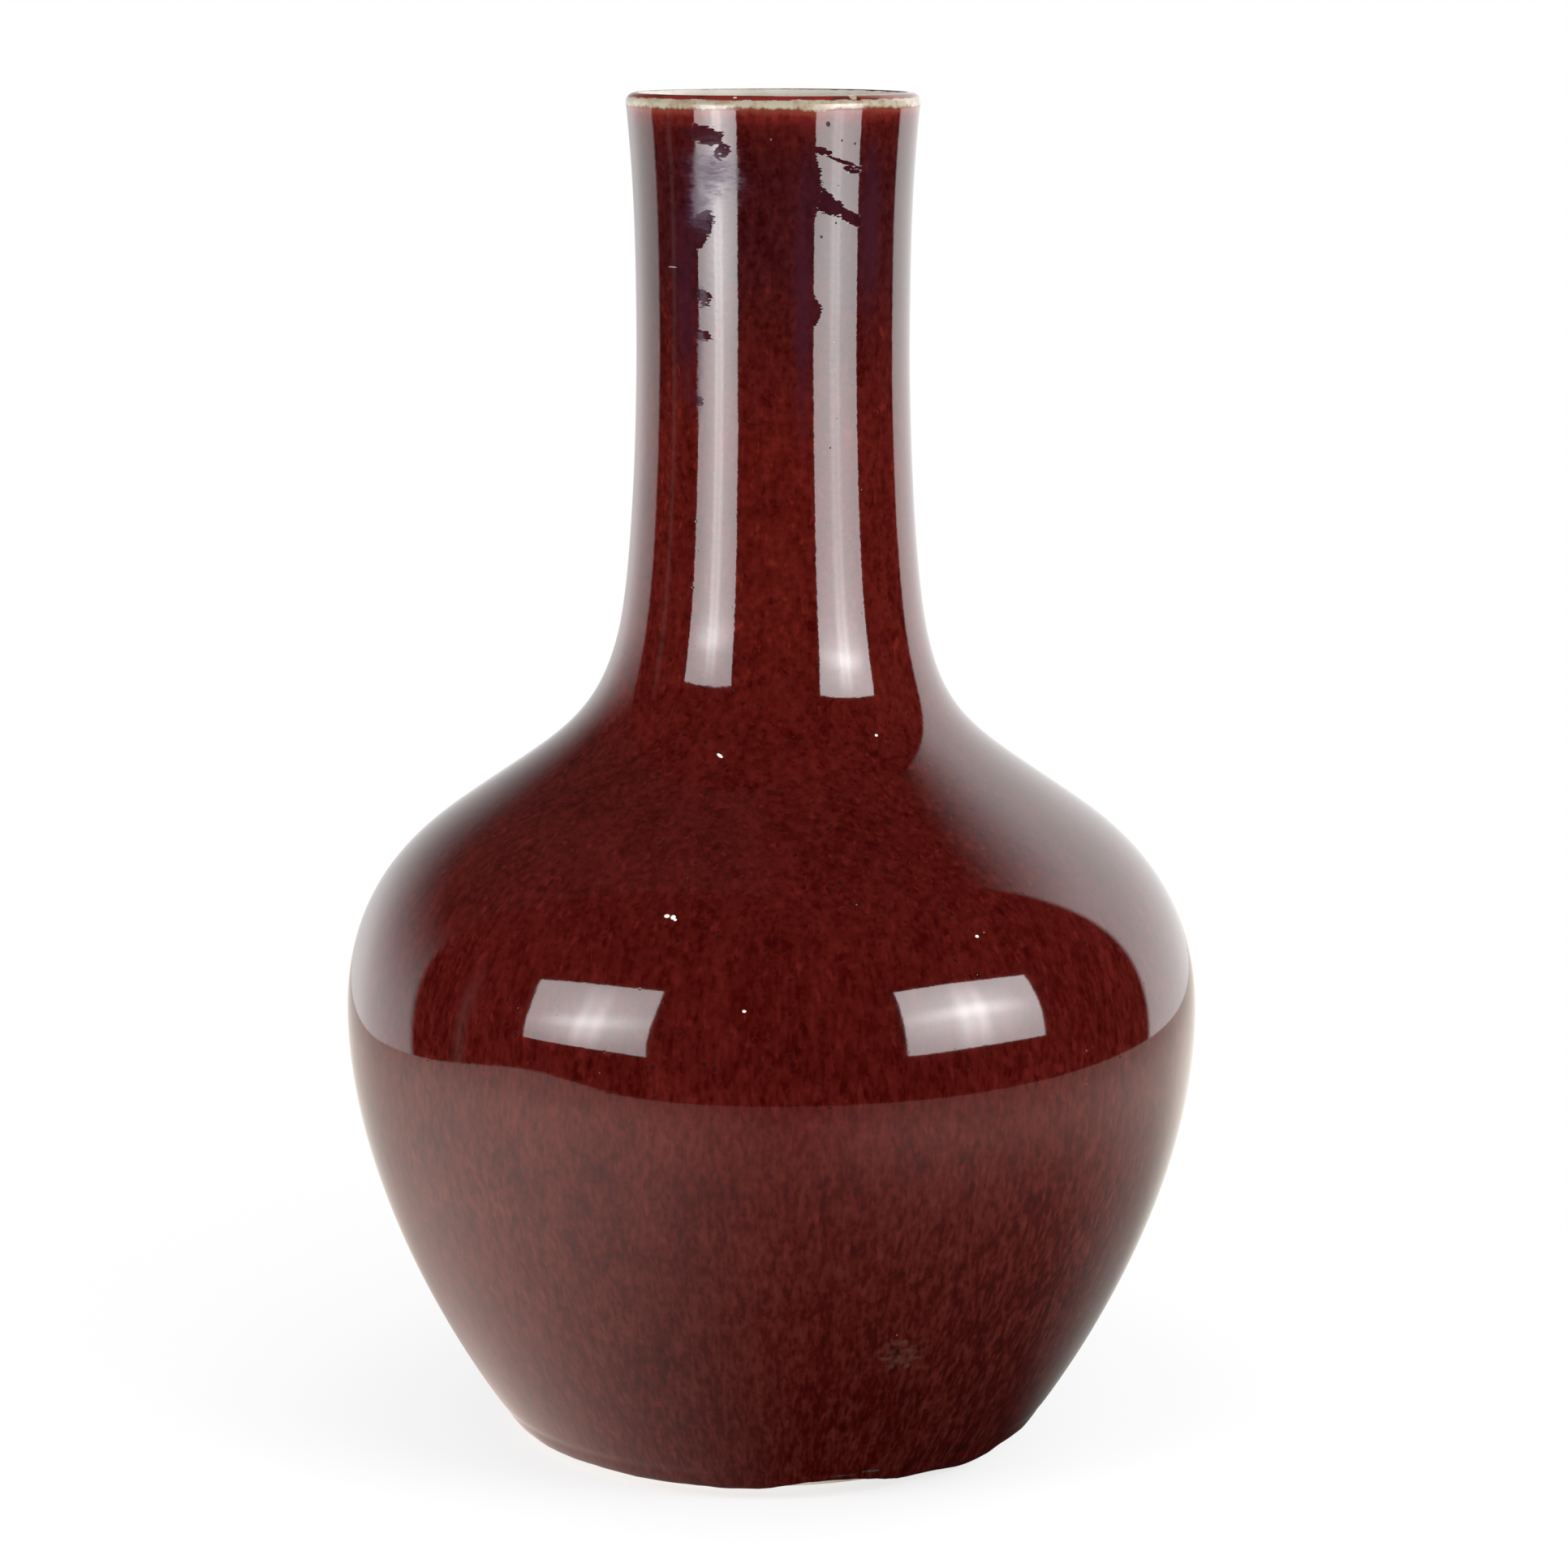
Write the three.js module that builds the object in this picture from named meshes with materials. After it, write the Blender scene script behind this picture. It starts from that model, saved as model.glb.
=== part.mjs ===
import * as THREE from 'three';

// A globe vase 400 mm tall: three thrown porcelain sections luted together with slip, a copper-red
// glaze outside, a pale glaze inside, on the lip and under the base, and a bare ground foot ring.
// Every piece is a turned form, so each is one profile of [radius, height] points swept about Z.
// The driving profile is the outer surface of the vase. All inner surfaces are measured in from it.
// Sizes are in millimetres and angles in degrees.

// Foot and base
const FOOT_RADIUS = 68; // outer edge of the flat ring that the vase stands on
const FOOT_RING_WIDTH = 9; // width of that flat ring
const FOOT_CHAMFER = 1.5; // turned chamfer inside the ring
const FOOT_FLARE = 8; // how far the outside of the foot runs out from the flat ring
const FOOT_RISE = 6.5; // how high it has risen there, which is where the glaze roll hangs
const BASE_RECESS = 8; // hollow under the base
const RECESS_CORNER = 4; // radius of the corner of that hollow
const BASE_THICKNESS = 9; // clay between the hollow and the inside floor

// Heights, each one counted from the one before, which together make 400
const BELLY_RISE = 127.7; // ground to the widest point
const SHOULDER_RISE = 62.5; // widest point to the middle of the shoulder
const NECK_ROOT_RISE = 51.4; // middle of the shoulder to the root of the neck
const WAIST_RISE = 87.4; // root of the neck to its narrowest point
const MOUTH_RISE = 71; // narrowest point to the top of the lip

// Radii of the outer surface at those heights
const BELLY_RADIUS = 127.5;
const SHOULDER_RADIUS = 91.9;
const NECK_ROOT_RADIUS = 45.9;
const WAIST_RADIUS = 40;
const LIP_RADIUS = 42.6;

// How far the wall leans from upright, outwards where it is positive
const FOOT_LEAN = 36;
const SHOULDER_LEAN = -54.8;
const NECK_ROOT_LEAN = -13.1;
const LIP_LEAN = 5.2;

// Fullness of each curve at its lower and upper end, as a part of the chord between the two heights
const WALL_FULLNESS = [0.252, 0.346];
const SHOULDER_FULLNESS = [0.525, 0.222];
const COLLAR_FULLNESS = [0.49, 0.392];
const NECK_FULLNESS = [0.195, 0.329];
const MOUTH_FULLNESS = [0.387, 0.36];

// Clay wall, which thins towards the mouth
const FOOT_WALL = 8;
const BELLY_WALL = 5.5;
const NECK_WALL = 4.1;
const FLOOR_FULLNESS = [0.5, 0.12]; // fullness of the inside floor, at the middle and at the wall

// Luted joints: each edge is cut on a slant, so that the upper section centres itself
const SLIP_THICKNESS = 1.2;
const JOINT_SLANT = 3; // how much higher the inner edge of a joint lies than the outer edge

// Glazes
const RED_GLAZE = 0.8;
const INNER_GLAZE = 0.5;
const BASE_GLAZE = 0.5;
const CREST_GLAZE = 0.5; // on top of the lip, where it is thinnest
const ROLL_RADIUS = 3; // of the thick roll where the red glaze stopped running above the foot
const LIP_BAND = 1; // how far the pale band of the lip runs down below the rounding
const BARE_FOOT = 2.5; // height of the bare edge inside the foot ring

const CLEARANCE = 0.05; // between two pieces that touch

// Fineness of the turned surfaces
const SIDES = 40;
const WALL_STEPS = 10;
const SHOULDER_STEPS = 6;
const NECK_STEPS = 3;
const FLOOR_STEPS = 4;
const ARC_STEPS = 3;
const FLOOR_EDGE_STEP = 2; // the step of the wall at which the inside floor meets it

// A station is a point of the profile, with the direction of the surface there and the clay's thickness
function station(radius, height, leanDegrees, wall) {
  const lean = THREE.MathUtils.degToRad(leanDegrees);
  const along = new THREE.Vector2(Math.sin(lean), Math.cos(lean));
  return { at: new THREE.Vector2(radius, height), along, wall };
}

// A station moved along its own surface
function slide(from, distance) {
  return { ...from, at: from.at.clone().addScaledVector(from.along, distance) };
}

// The direction out of the surface at a station
function outOf(place) {
  return new THREE.Vector2(place.along.y, -place.along.x);
}

// The point at a depth below the surface at a station
function below(place, depth) {
  return place.at.clone().addScaledVector(outOf(place), -depth);
}

// Stations on a smooth curve from one station to the next, both ends included
function curveBetween(start, end, [startFullness, endFullness], steps) {
  const chord = start.at.distanceTo(end.at);
  const startHandle = slide(start, startFullness * chord).at;
  const endHandle = slide(end, -endFullness * chord).at;
  const curve = new THREE.CubicBezierCurve(start.at, startHandle, endHandle, end.at);
  const stations = [start];
  for (let step = 1; step < steps; step += 1) {
    const part = step / steps;
    const wall = THREE.MathUtils.lerp(start.wall, end.wall, part);
    stations.push({ at: curve.getPoint(part), along: curve.getTangent(part), wall });
  }
  stations.push(end);
  return stations;
}

// Stations on an arc of a circle, with the angle counted from straight out, anticlockwise
function arcStations(centre, radius, startDegrees, endDegrees, steps) {
  const turn = Math.sign(endDegrees - startDegrees);
  const stations = [];
  for (let step = 0; step <= steps; step += 1) {
    const angle = THREE.MathUtils.degToRad(THREE.MathUtils.lerp(startDegrees, endDegrees, step / steps));
    const out = new THREE.Vector2(Math.cos(angle), Math.sin(angle));
    const along = new THREE.Vector2(-out.y, out.x).multiplyScalar(turn);
    stations.push({ at: centre.clone().addScaledVector(out, radius), along });
  }
  return stations;
}

// Depths below the outer surface at which each layer begins or ends
const redBack = () => RED_GLAZE;
const clayOutside = () => RED_GLAZE + CLEARANCE;
const clayInside = (place) => clayOutside() + place.wall;
const liningBack = (place) => clayInside(place) + CLEARANCE;
const liningFace = (place) => liningBack(place) + INNER_GLAZE;

const layer = (stations, depthAt) => stations.map((place) => below(place, depthAt(place)));

// Heights worked out from the rises
const shoulderHeight = BELLY_RISE + SHOULDER_RISE;
const neckRootHeight = shoulderHeight + NECK_ROOT_RISE;
const waistHeight = neckRootHeight + WAIST_RISE;
const height = waistHeight + MOUTH_RISE;

// The glaze roll at the foot
const rollCentre = new THREE.Vector2(FOOT_RADIUS + FOOT_FLARE + ROLL_RADIUS, FOOT_RISE);
const roll = arcStations(rollCentre, ROLL_RADIUS, 180, 360 - FOOT_LEAN, 2 * ARC_STEPS);
const wallStart = { ...station(0, 0, FOOT_LEAN, FOOT_WALL), at: roll[roll.length - 1].at };

// The lip, whose top is a half round as wide as the whole wall there
const jointLength = JOINT_SLANT + SLIP_THICKNESS;
const lipStart = station(LIP_RADIUS, 0, LIP_LEAN, NECK_WALL);
const lipRadius = liningFace(lipStart) / 2;
lipStart.at.y = height - lipRadius * (1 + lipStart.along.x);
const bandStart = slide(lipStart, -LIP_BAND);

// The stations of the outer surface, with a short straight stretch at each joint
const belly = station(BELLY_RADIUS, BELLY_RISE, 0, BELLY_WALL);
const shoulder = station(SHOULDER_RADIUS, shoulderHeight, SHOULDER_LEAN, (BELLY_WALL + NECK_WALL) / 2);
const neckRoot = station(NECK_ROOT_RADIUS, neckRootHeight, NECK_ROOT_LEAN, NECK_WALL);
const waist = station(WAIST_RADIUS, waistHeight, 0, NECK_WALL);
const bellyJoint = slide(belly, -jointLength / 2);
const neckJoint = slide(neckRoot, -jointLength / 2);
const shoulderStart = slide(bellyJoint, jointLength);
const neckStart = slide(neckJoint, jointLength);

const wholeWall = curveBetween(wallStart, bellyJoint, WALL_FULLNESS, WALL_STEPS);
const wall = wholeWall.slice(1);
const upperWall = [
  ...curveBetween(shoulderStart, shoulder, SHOULDER_FULLNESS, SHOULDER_STEPS),
  ...curveBetween(shoulder, neckJoint, COLLAR_FULLNESS, SHOULDER_STEPS).slice(1),
];
const neckWall = [
  ...curveBetween(neckStart, waist, NECK_FULLNESS, NECK_STEPS),
  ...curveBetween(waist, bandStart, MOUTH_FULLNESS, NECK_STEPS).slice(1),
];
const outside = [...wall, ...upperWall, ...neckWall];
const innerWall = wholeWall.slice(FLOOR_EDGE_STEP);
const inside = [...innerWall, ...upperWall, ...neckWall];

// The inside floor, from the middle out to the lowest station of the inner wall
const floorMiddle = station(0, BASE_RECESS + BASE_THICKNESS, 90);
const floorEdge = { at: below(innerWall[0], clayInside(innerWall[0])), along: innerWall[0].along };
const floor = curveBetween(floorMiddle, floorEdge, FLOOR_FULLNESS, FLOOR_STEPS).slice(0, -1);

// The hollow under the base, from the middle out to its wall
const recessRadius = FOOT_RADIUS - FOOT_RING_WIDTH - FOOT_CHAMFER;
const recessCorner = new THREE.Vector2(recessRadius - RECESS_CORNER, BASE_RECESS - RECESS_CORNER);
const recess = [
  station(0, BASE_RECESS, 90),
  ...arcStations(recessCorner, RECESS_CORNER, 90, 0, ARC_STEPS),
];
const bareEdge = station(recessRadius, BARE_FOOT, 180);

// The half round of the lip, as wide as halfWidth on each side of its middle and as high as rise
function lipRound(middleDepth, halfWidth, rise) {
  const centre = below(lipStart, middleDepth);
  const crest = 90 + LIP_LEAN;
  const angles = [];
  for (let step = 1; step <= ARC_STEPS; step += 1) {
    angles.push((crest * step) / ARC_STEPS);
  }
  for (let step = 1; step < ARC_STEPS; step += 1) {
    angles.push(crest + ((180 - crest) * step) / ARC_STEPS);
  }
  return angles.map((degrees) => {
    const angle = THREE.MathUtils.degToRad(degrees);
    const point = centre.clone().addScaledVector(outOf(lipStart), halfWidth * Math.cos(angle));
    return point.addScaledVector(lipStart.along, rise * Math.sin(angle));
  });
}
const clayMiddle = clayOutside() + NECK_WALL / 2;
const clayRise = lipRadius - CREST_GLAZE - CLEARANCE;
const glazeRound = lipRound(lipRadius, lipRadius, lipRadius);
const glazeBackRound = lipRound(clayMiddle, NECK_WALL / 2 + CLEARANCE, clayRise + CLEARANCE);
const clayRound = lipRound(clayMiddle, NECK_WALL / 2, clayRise);

// The profile of a luted joint, and the clay edges below and above it
function joint(start) {
  const edge = (distance, depthAt) => below(slide(start, distance), depthAt(start));
  return {
    lowerInside: edge(JOINT_SLANT, clayInside),
    upperOutside: edge(SLIP_THICKNESS, clayOutside),
    slip: [
      edge(CLEARANCE, clayOutside),
      edge(SLIP_THICKNESS - CLEARANCE, clayOutside),
      edge(jointLength - CLEARANCE, clayInside),
      edge(JOINT_SLANT + CLEARANCE, clayInside),
    ],
  };
}
const bellyEdges = joint(bellyJoint);
const neckEdges = joint(neckJoint);

const reversed = (points) => [...points].reverse();
const ringOf = (points) => [...points, points[0]];

// Profiles, each followed so that the piece lies to the left of the line
function lowerBowlProfile() {
  return [
    ...layer(recess, () => 0),
    new THREE.Vector2(recessRadius, FOOT_CHAMFER),
    new THREE.Vector2(recessRadius + FOOT_CHAMFER, 0),
    new THREE.Vector2(FOOT_RADIUS, 0),
    roll[0].at.clone().add(new THREE.Vector2(-CLEARANCE, CLEARANCE)),
    ...layer(wall, clayOutside),
    bellyEdges.lowerInside,
    ...reversed(layer(innerWall, clayInside)),
    ...reversed(layer(floor, () => 0)),
  ];
}

function upperBowlProfile() {
  return ringOf([
    bellyEdges.upperOutside,
    ...layer(upperWall, clayOutside),
    neckEdges.lowerInside,
    ...reversed(layer(upperWall, clayInside)),
  ]);
}

function neckProfile() {
  return ringOf([
    neckEdges.upperOutside,
    ...layer(neckWall, clayOutside),
    below(lipStart, clayOutside()),
    ...clayRound,
    below(lipStart, clayInside(lipStart)),
    ...reversed(layer(neckWall, clayInside)),
  ]);
}

function redGlazeProfile() {
  return ringOf([
    ...roll.map((place) => place.at),
    ...layer(outside, () => 0),
    ...reversed(layer(outside, redBack)),
  ]);
}

function lipGlazeProfile() {
  const start = slide(bandStart, CLEARANCE);
  const sides = [start, lipStart];
  return ringOf([
    ...layer(sides, () => 0),
    ...glazeRound,
    ...reversed(layer(sides, liningFace)),
    ...layer(sides, liningBack),
    ...reversed(glazeBackRound),
    ...reversed(layer(sides, redBack)),
  ]);
}

function innerGlazeProfile() {
  const floorBack = layer(floor, () => CLEARANCE);
  const floorFace = layer(floor, () => CLEARANCE + INNER_GLAZE);
  return [
    ...floorBack,
    ...layer(inside, liningBack),
    ...reversed(layer(inside, liningFace)),
    ...reversed(floorFace),
  ];
}

function baseGlazeProfile() {
  const glazed = [...recess, bareEdge];
  return [...layer(glazed, () => -CLEARANCE - BASE_GLAZE), ...reversed(layer(glazed, () => -CLEARANCE))];
}

function turned(name, profile, finish) {
  const geometry = new THREE.LatheGeometry(profile, SIDES);
  const mesh = new THREE.Mesh(geometry, new THREE.MeshStandardMaterial(finish));
  mesh.name = name;
  mesh.rotation.x = Math.PI / 2;
  return mesh;
}

const PORCELAIN = { color: 0xd9cfc0, roughness: 0.75, metalness: 0 };
const SLIP = { color: 0xc9bda9, roughness: 0.85, metalness: 0 };
const COPPER_RED = { color: 0x5c1211, roughness: 0.12, metalness: 0 };
const PALE_GLAZE = { color: 0xc9cdb8, roughness: 0.15, metalness: 0 };

const vase = new THREE.Group();
vase.add(turned('lower_bowl', lowerBowlProfile(), PORCELAIN));
vase.add(turned('belly_seam', ringOf(bellyEdges.slip), SLIP));
vase.add(turned('upper_bowl', upperBowlProfile(), PORCELAIN));
vase.add(turned('neck_seam', ringOf(neckEdges.slip), SLIP));
vase.add(turned('neck', neckProfile(), PORCELAIN));
vase.add(turned('red_glaze', redGlazeProfile(), COPPER_RED));
vase.add(turned('lip_glaze', lipGlazeProfile(), PALE_GLAZE));
vase.add(turned('inner_glaze', innerGlazeProfile(), PALE_GLAZE));
vase.add(turned('base_glaze', baseGlazeProfile(), PALE_GLAZE));

export default vase;
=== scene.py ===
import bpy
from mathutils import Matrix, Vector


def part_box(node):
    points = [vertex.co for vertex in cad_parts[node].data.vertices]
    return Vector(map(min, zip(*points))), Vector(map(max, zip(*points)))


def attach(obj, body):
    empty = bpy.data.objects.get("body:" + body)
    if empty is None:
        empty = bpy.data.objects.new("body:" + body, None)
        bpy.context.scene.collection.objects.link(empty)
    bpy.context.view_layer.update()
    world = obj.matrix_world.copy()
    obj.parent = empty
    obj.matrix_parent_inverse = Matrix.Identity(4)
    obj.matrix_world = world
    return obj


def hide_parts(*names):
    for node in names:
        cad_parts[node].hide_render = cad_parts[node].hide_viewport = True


bl_info = {
    "name": "Globe Vase",
    "version": (1, 0, 0),
    "blender": (4, 5, 0),
    "location": "3D View > Sidebar > Vase",
    "description": "Turns a copper-red globe vase with its clay sections, slip seams and glazes",
    "category": "Add Mesh",
}

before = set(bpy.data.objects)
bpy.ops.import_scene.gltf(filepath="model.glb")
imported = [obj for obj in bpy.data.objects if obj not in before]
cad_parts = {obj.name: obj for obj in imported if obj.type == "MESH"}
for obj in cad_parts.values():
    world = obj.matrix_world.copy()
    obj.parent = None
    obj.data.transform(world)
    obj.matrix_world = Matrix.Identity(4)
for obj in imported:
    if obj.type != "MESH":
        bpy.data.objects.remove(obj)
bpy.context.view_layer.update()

import math
from collections import namedtuple

import bpy
from bpy.props import FloatProperty, FloatVectorProperty, IntProperty, PointerProperty
from mathutils import Vector

MM = 0.001

# Sizes that the frame gives
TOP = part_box("lip_glaze")[1].z
LIP_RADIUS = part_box("lip_glaze")[1].x
BELLY_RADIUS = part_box("red_glaze")[1].x

Station = namedtuple("Station", "at along wall")


# Properties

def size(name, description, millimetres, **more):
    return FloatProperty(
        name=name, description=description, default=millimetres * MM,
        unit="LENGTH", subtype="DISTANCE", **more)


def colour(name, description, red, green, blue):
    return FloatVectorProperty(
        name=name, description=description, subtype="COLOR", size=3, min=0.0, max=1.0,
        default=(red, green, blue))


class VaseShape(bpy.types.PropertyGroup):
    """Sizes of the outer profile, the clay wall and the glazes"""
    foot_radius: size("Foot radius", "Outer edge of the flat ring the vase stands on", 68)
    foot_ring: size("Foot ring width", "Width of the flat ring", 9)
    foot_chamfer: size("Foot chamfer", "Turned chamfer inside the ring", 1.5)
    foot_flare: size("Foot flare", "How far the outside of the foot runs out from the ring", 8)
    foot_rise: size("Foot rise", "How high it has risen where the glaze roll hangs", 6.5)
    base_recess: size("Base recess", "Hollow under the base", 8)
    recess_corner: size("Recess corner", "Radius of the corner of that hollow", 4)
    base_thickness: size("Base thickness", "Clay between the hollow and the floor", 9)
    belly_height: size("Belly height", "Height of the widest point", 127.7)
    shoulder_height: size("Shoulder height", "Height of the middle of the shoulder", 190.2)
    neck_root_height: size("Neck root height", "Height of the root of the neck", 241.6)
    waist_height: size("Waist height", "Height of the neck's narrowest point", 329)
    height: size("Height", "Whole height of the vase", TOP / MM)
    belly_radius: size("Belly radius", "Radius at the widest point", BELLY_RADIUS / MM)
    shoulder_radius: size("Shoulder radius", "Radius at the middle of the shoulder", 91.9)
    neck_root_radius: size("Neck root radius", "Radius at the root of the neck", 45.9)
    waist_radius: size("Waist radius", "Radius at the neck's narrowest point", 40)
    lip_radius: size("Lip radius", "Radius of the lip", LIP_RADIUS / MM)
    foot_wall: size("Wall at the foot", "Thickness of the clay at the foot", 8)
    belly_wall: size("Wall at the belly", "Thickness of the clay at the belly", 5.5)
    neck_wall: size("Wall of the neck", "Thickness of the clay in the neck", 4.1)
    slip: size("Slip thickness", "Thickness of the slip in each joint", 1.2)
    joint_slant: size("Joint slant", "How much higher the inner edge of a joint lies", 3)
    red_thickness: size("Red glaze", "Thickness of the red glaze", 0.8)
    pale_thickness: size("Pale glaze", "Thickness of the pale glazes", 0.5)
    roll_radius: size("Glaze roll", "Radius of the thick roll above the foot", 3)
    lip_band: size("Lip band", "How far the pale band runs down below the rounding", 1)
    bare_foot: size("Bare foot", "Height of the bare edge inside the foot ring", 2.5)
    sides: IntProperty(name="Sides", description="Sides of the turned form", default=256, min=12, max=360)


class VaseMaking(bpy.types.PropertyGroup):
    """Unevenness left by throwing, luting and firing"""
    shoulder_drift: size("Shoulder drift", "How far the shoulder stands off the axis", -0.65)
    neck_drift: size("Neck drift", "How far the neck stands off the axis", 0.25)
    mouth_dip: size("Mouth dip", "How far the mouth settled in the fire", 0.27)
    mouth_tilt: size("Mouth tilt", "How much more it settled at the back than in the middle", 0.53)
    ripple: size("Ripple", "Depth of the slow waves in the glaze", 0.07)
    ripple_size: size("Ripple size", "Width of those waves", 34)
    wave: size("Seam wave", "How far the glaze swells over the luted joint", 0.58)
    wave_height: size("Seam wave height", "Height of the middle of that swelling", 146)
    ground_lift: size("Ground hem", "How far the roll was ground away at the front", 3.4)
    drip: size("Drip", "How far a run of glaze hangs below the roll", 1.1)
    groove: size("Groove", "How far the glaze draws in just above the roll", 0.17)
    seed: IntProperty(name="Seed", description="Seed of everything random", default=7)


class VaseFinish(bpy.types.PropertyGroup):
    """Colours of the glazes and the clay"""
    foot_red: colour("Foot red", "Red glaze near the foot", 0.038, 0.0024, 0.0016)
    low_red: colour("Low red", "Red glaze below the belly", 0.052, 0.0034, 0.0023)
    belly_red: colour("Belly red", "Red glaze at the belly", 0.043, 0.0025, 0.0016)
    shoulder_red: colour("Shoulder red", "Red glaze on the shoulder", 0.042, 0.0025, 0.0016)
    neck_red: colour("Neck red", "Red glaze on the lower neck", 0.056, 0.0038, 0.0025)
    waist_red: colour("Waist red", "Red glaze at the neck's narrowest point", 0.041, 0.0032, 0.0026)
    wine: colour("Wine", "Dark red of the upper neck", 0.029, 0.0028, 0.0034)
    bright_red: colour("Bright red", "Red flecks, and the red just below the lip", 0.108, 0.0100, 0.0085)
    dark_red: colour("Dark red", "Thick glaze on the hem", 0.022, 0.0030, 0.0034)
    purple: colour("Purple", "Bluish dark bloom on the upper neck", 0.030, 0.0065, 0.0135)
    # Lilac painted where the glaze is matt: a painted blurred reflection of the soft box
    painted_reflection: colour("Haze", "Lilac haze in the matt places", 0.046, 0.022, 0.056)
    orange: colour("Orange", "Orange flecks on the neck", 0.150, 0.0150, 0.0080)
    speck: colour("Speck", "Nearly black specks", 0.010, 0.0030, 0.0030)
    brown: colour("Brown", "Thin red over the pale band", 0.16, 0.036, 0.020)
    tan: colour("Tan", "Brownish patches in the pale band", 0.24, 0.165, 0.105)
    pale: colour("Pale glaze", "Glaze over the lip", 0.335, 0.310, 0.230)
    lining: colour("Lining", "Glaze inside the vase", 0.76, 0.72, 0.62)
    base: colour("Base glaze", "Glaze under the base", 0.56, 0.53, 0.42)
    worn_lining: colour("Worn lining", "Darker clouds in that glaze at the mouth", 0.66, 0.62, 0.52)
    crest_red: colour("Crest red", "Broken red line along the crest of the lip", 0.190, 0.018, 0.015)
    crest_brown: colour("Crest brown", "Dark places in that line", 0.050, 0.013, 0.010)
    clay: colour("Clay", "Bare fired porcelain", 0.60, 0.53, 0.43)
    rust: colour("Rust", "Iron blush where the clay meets the glaze", 0.33, 0.13, 0.05)


# Profile of the vase, as pairs of radius and height in metres

def station(radius, height, lean_degrees, wall=0.0):
    lean = math.radians(lean_degrees)
    return Station(Vector((radius, height)), Vector((math.sin(lean), math.cos(lean))), wall)


def slide(place, distance):
    return place._replace(at=place.at + place.along * distance)


def out_of(place):
    return Vector((place.along.y, -place.along.x))


def below(place, depth):
    return place.at - out_of(place) * depth


def curve_between(start, end, fullness, steps):
    """Stations on a smooth curve from one station to the next, both ends included"""
    chord = (end.at - start.at).length
    a, d = start.at, end.at
    b = slide(start, fullness[0] * chord).at
    c = slide(end, -fullness[1] * chord).at
    places = [start]
    for step in range(1, steps):
        t = step / steps
        s = 1 - t
        at = a * s**3 + b * 3 * s * s * t + c * 3 * s * t * t + d * t**3
        along = ((b - a) * s * s + (c - b) * 2 * s * t + (d - c) * t * t).normalized()
        places.append(Station(at, along, start.wall + (end.wall - start.wall) * t))
    return places + [end]


def arc_stations(centre, radius, start_degrees, end_degrees, steps):
    """Stations on an arc, with the angle counted from straight out, anticlockwise"""
    turn = math.copysign(1, end_degrees - start_degrees)
    places = []
    for step in range(steps + 1):
        angle = math.radians(start_degrees + (end_degrees - start_degrees) * step / steps)
        out = Vector((math.cos(angle), math.sin(angle)))
        places.append(Station(centre + out * radius, Vector((-out.y * turn, out.x * turn)), 0.0))
    return places


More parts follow.
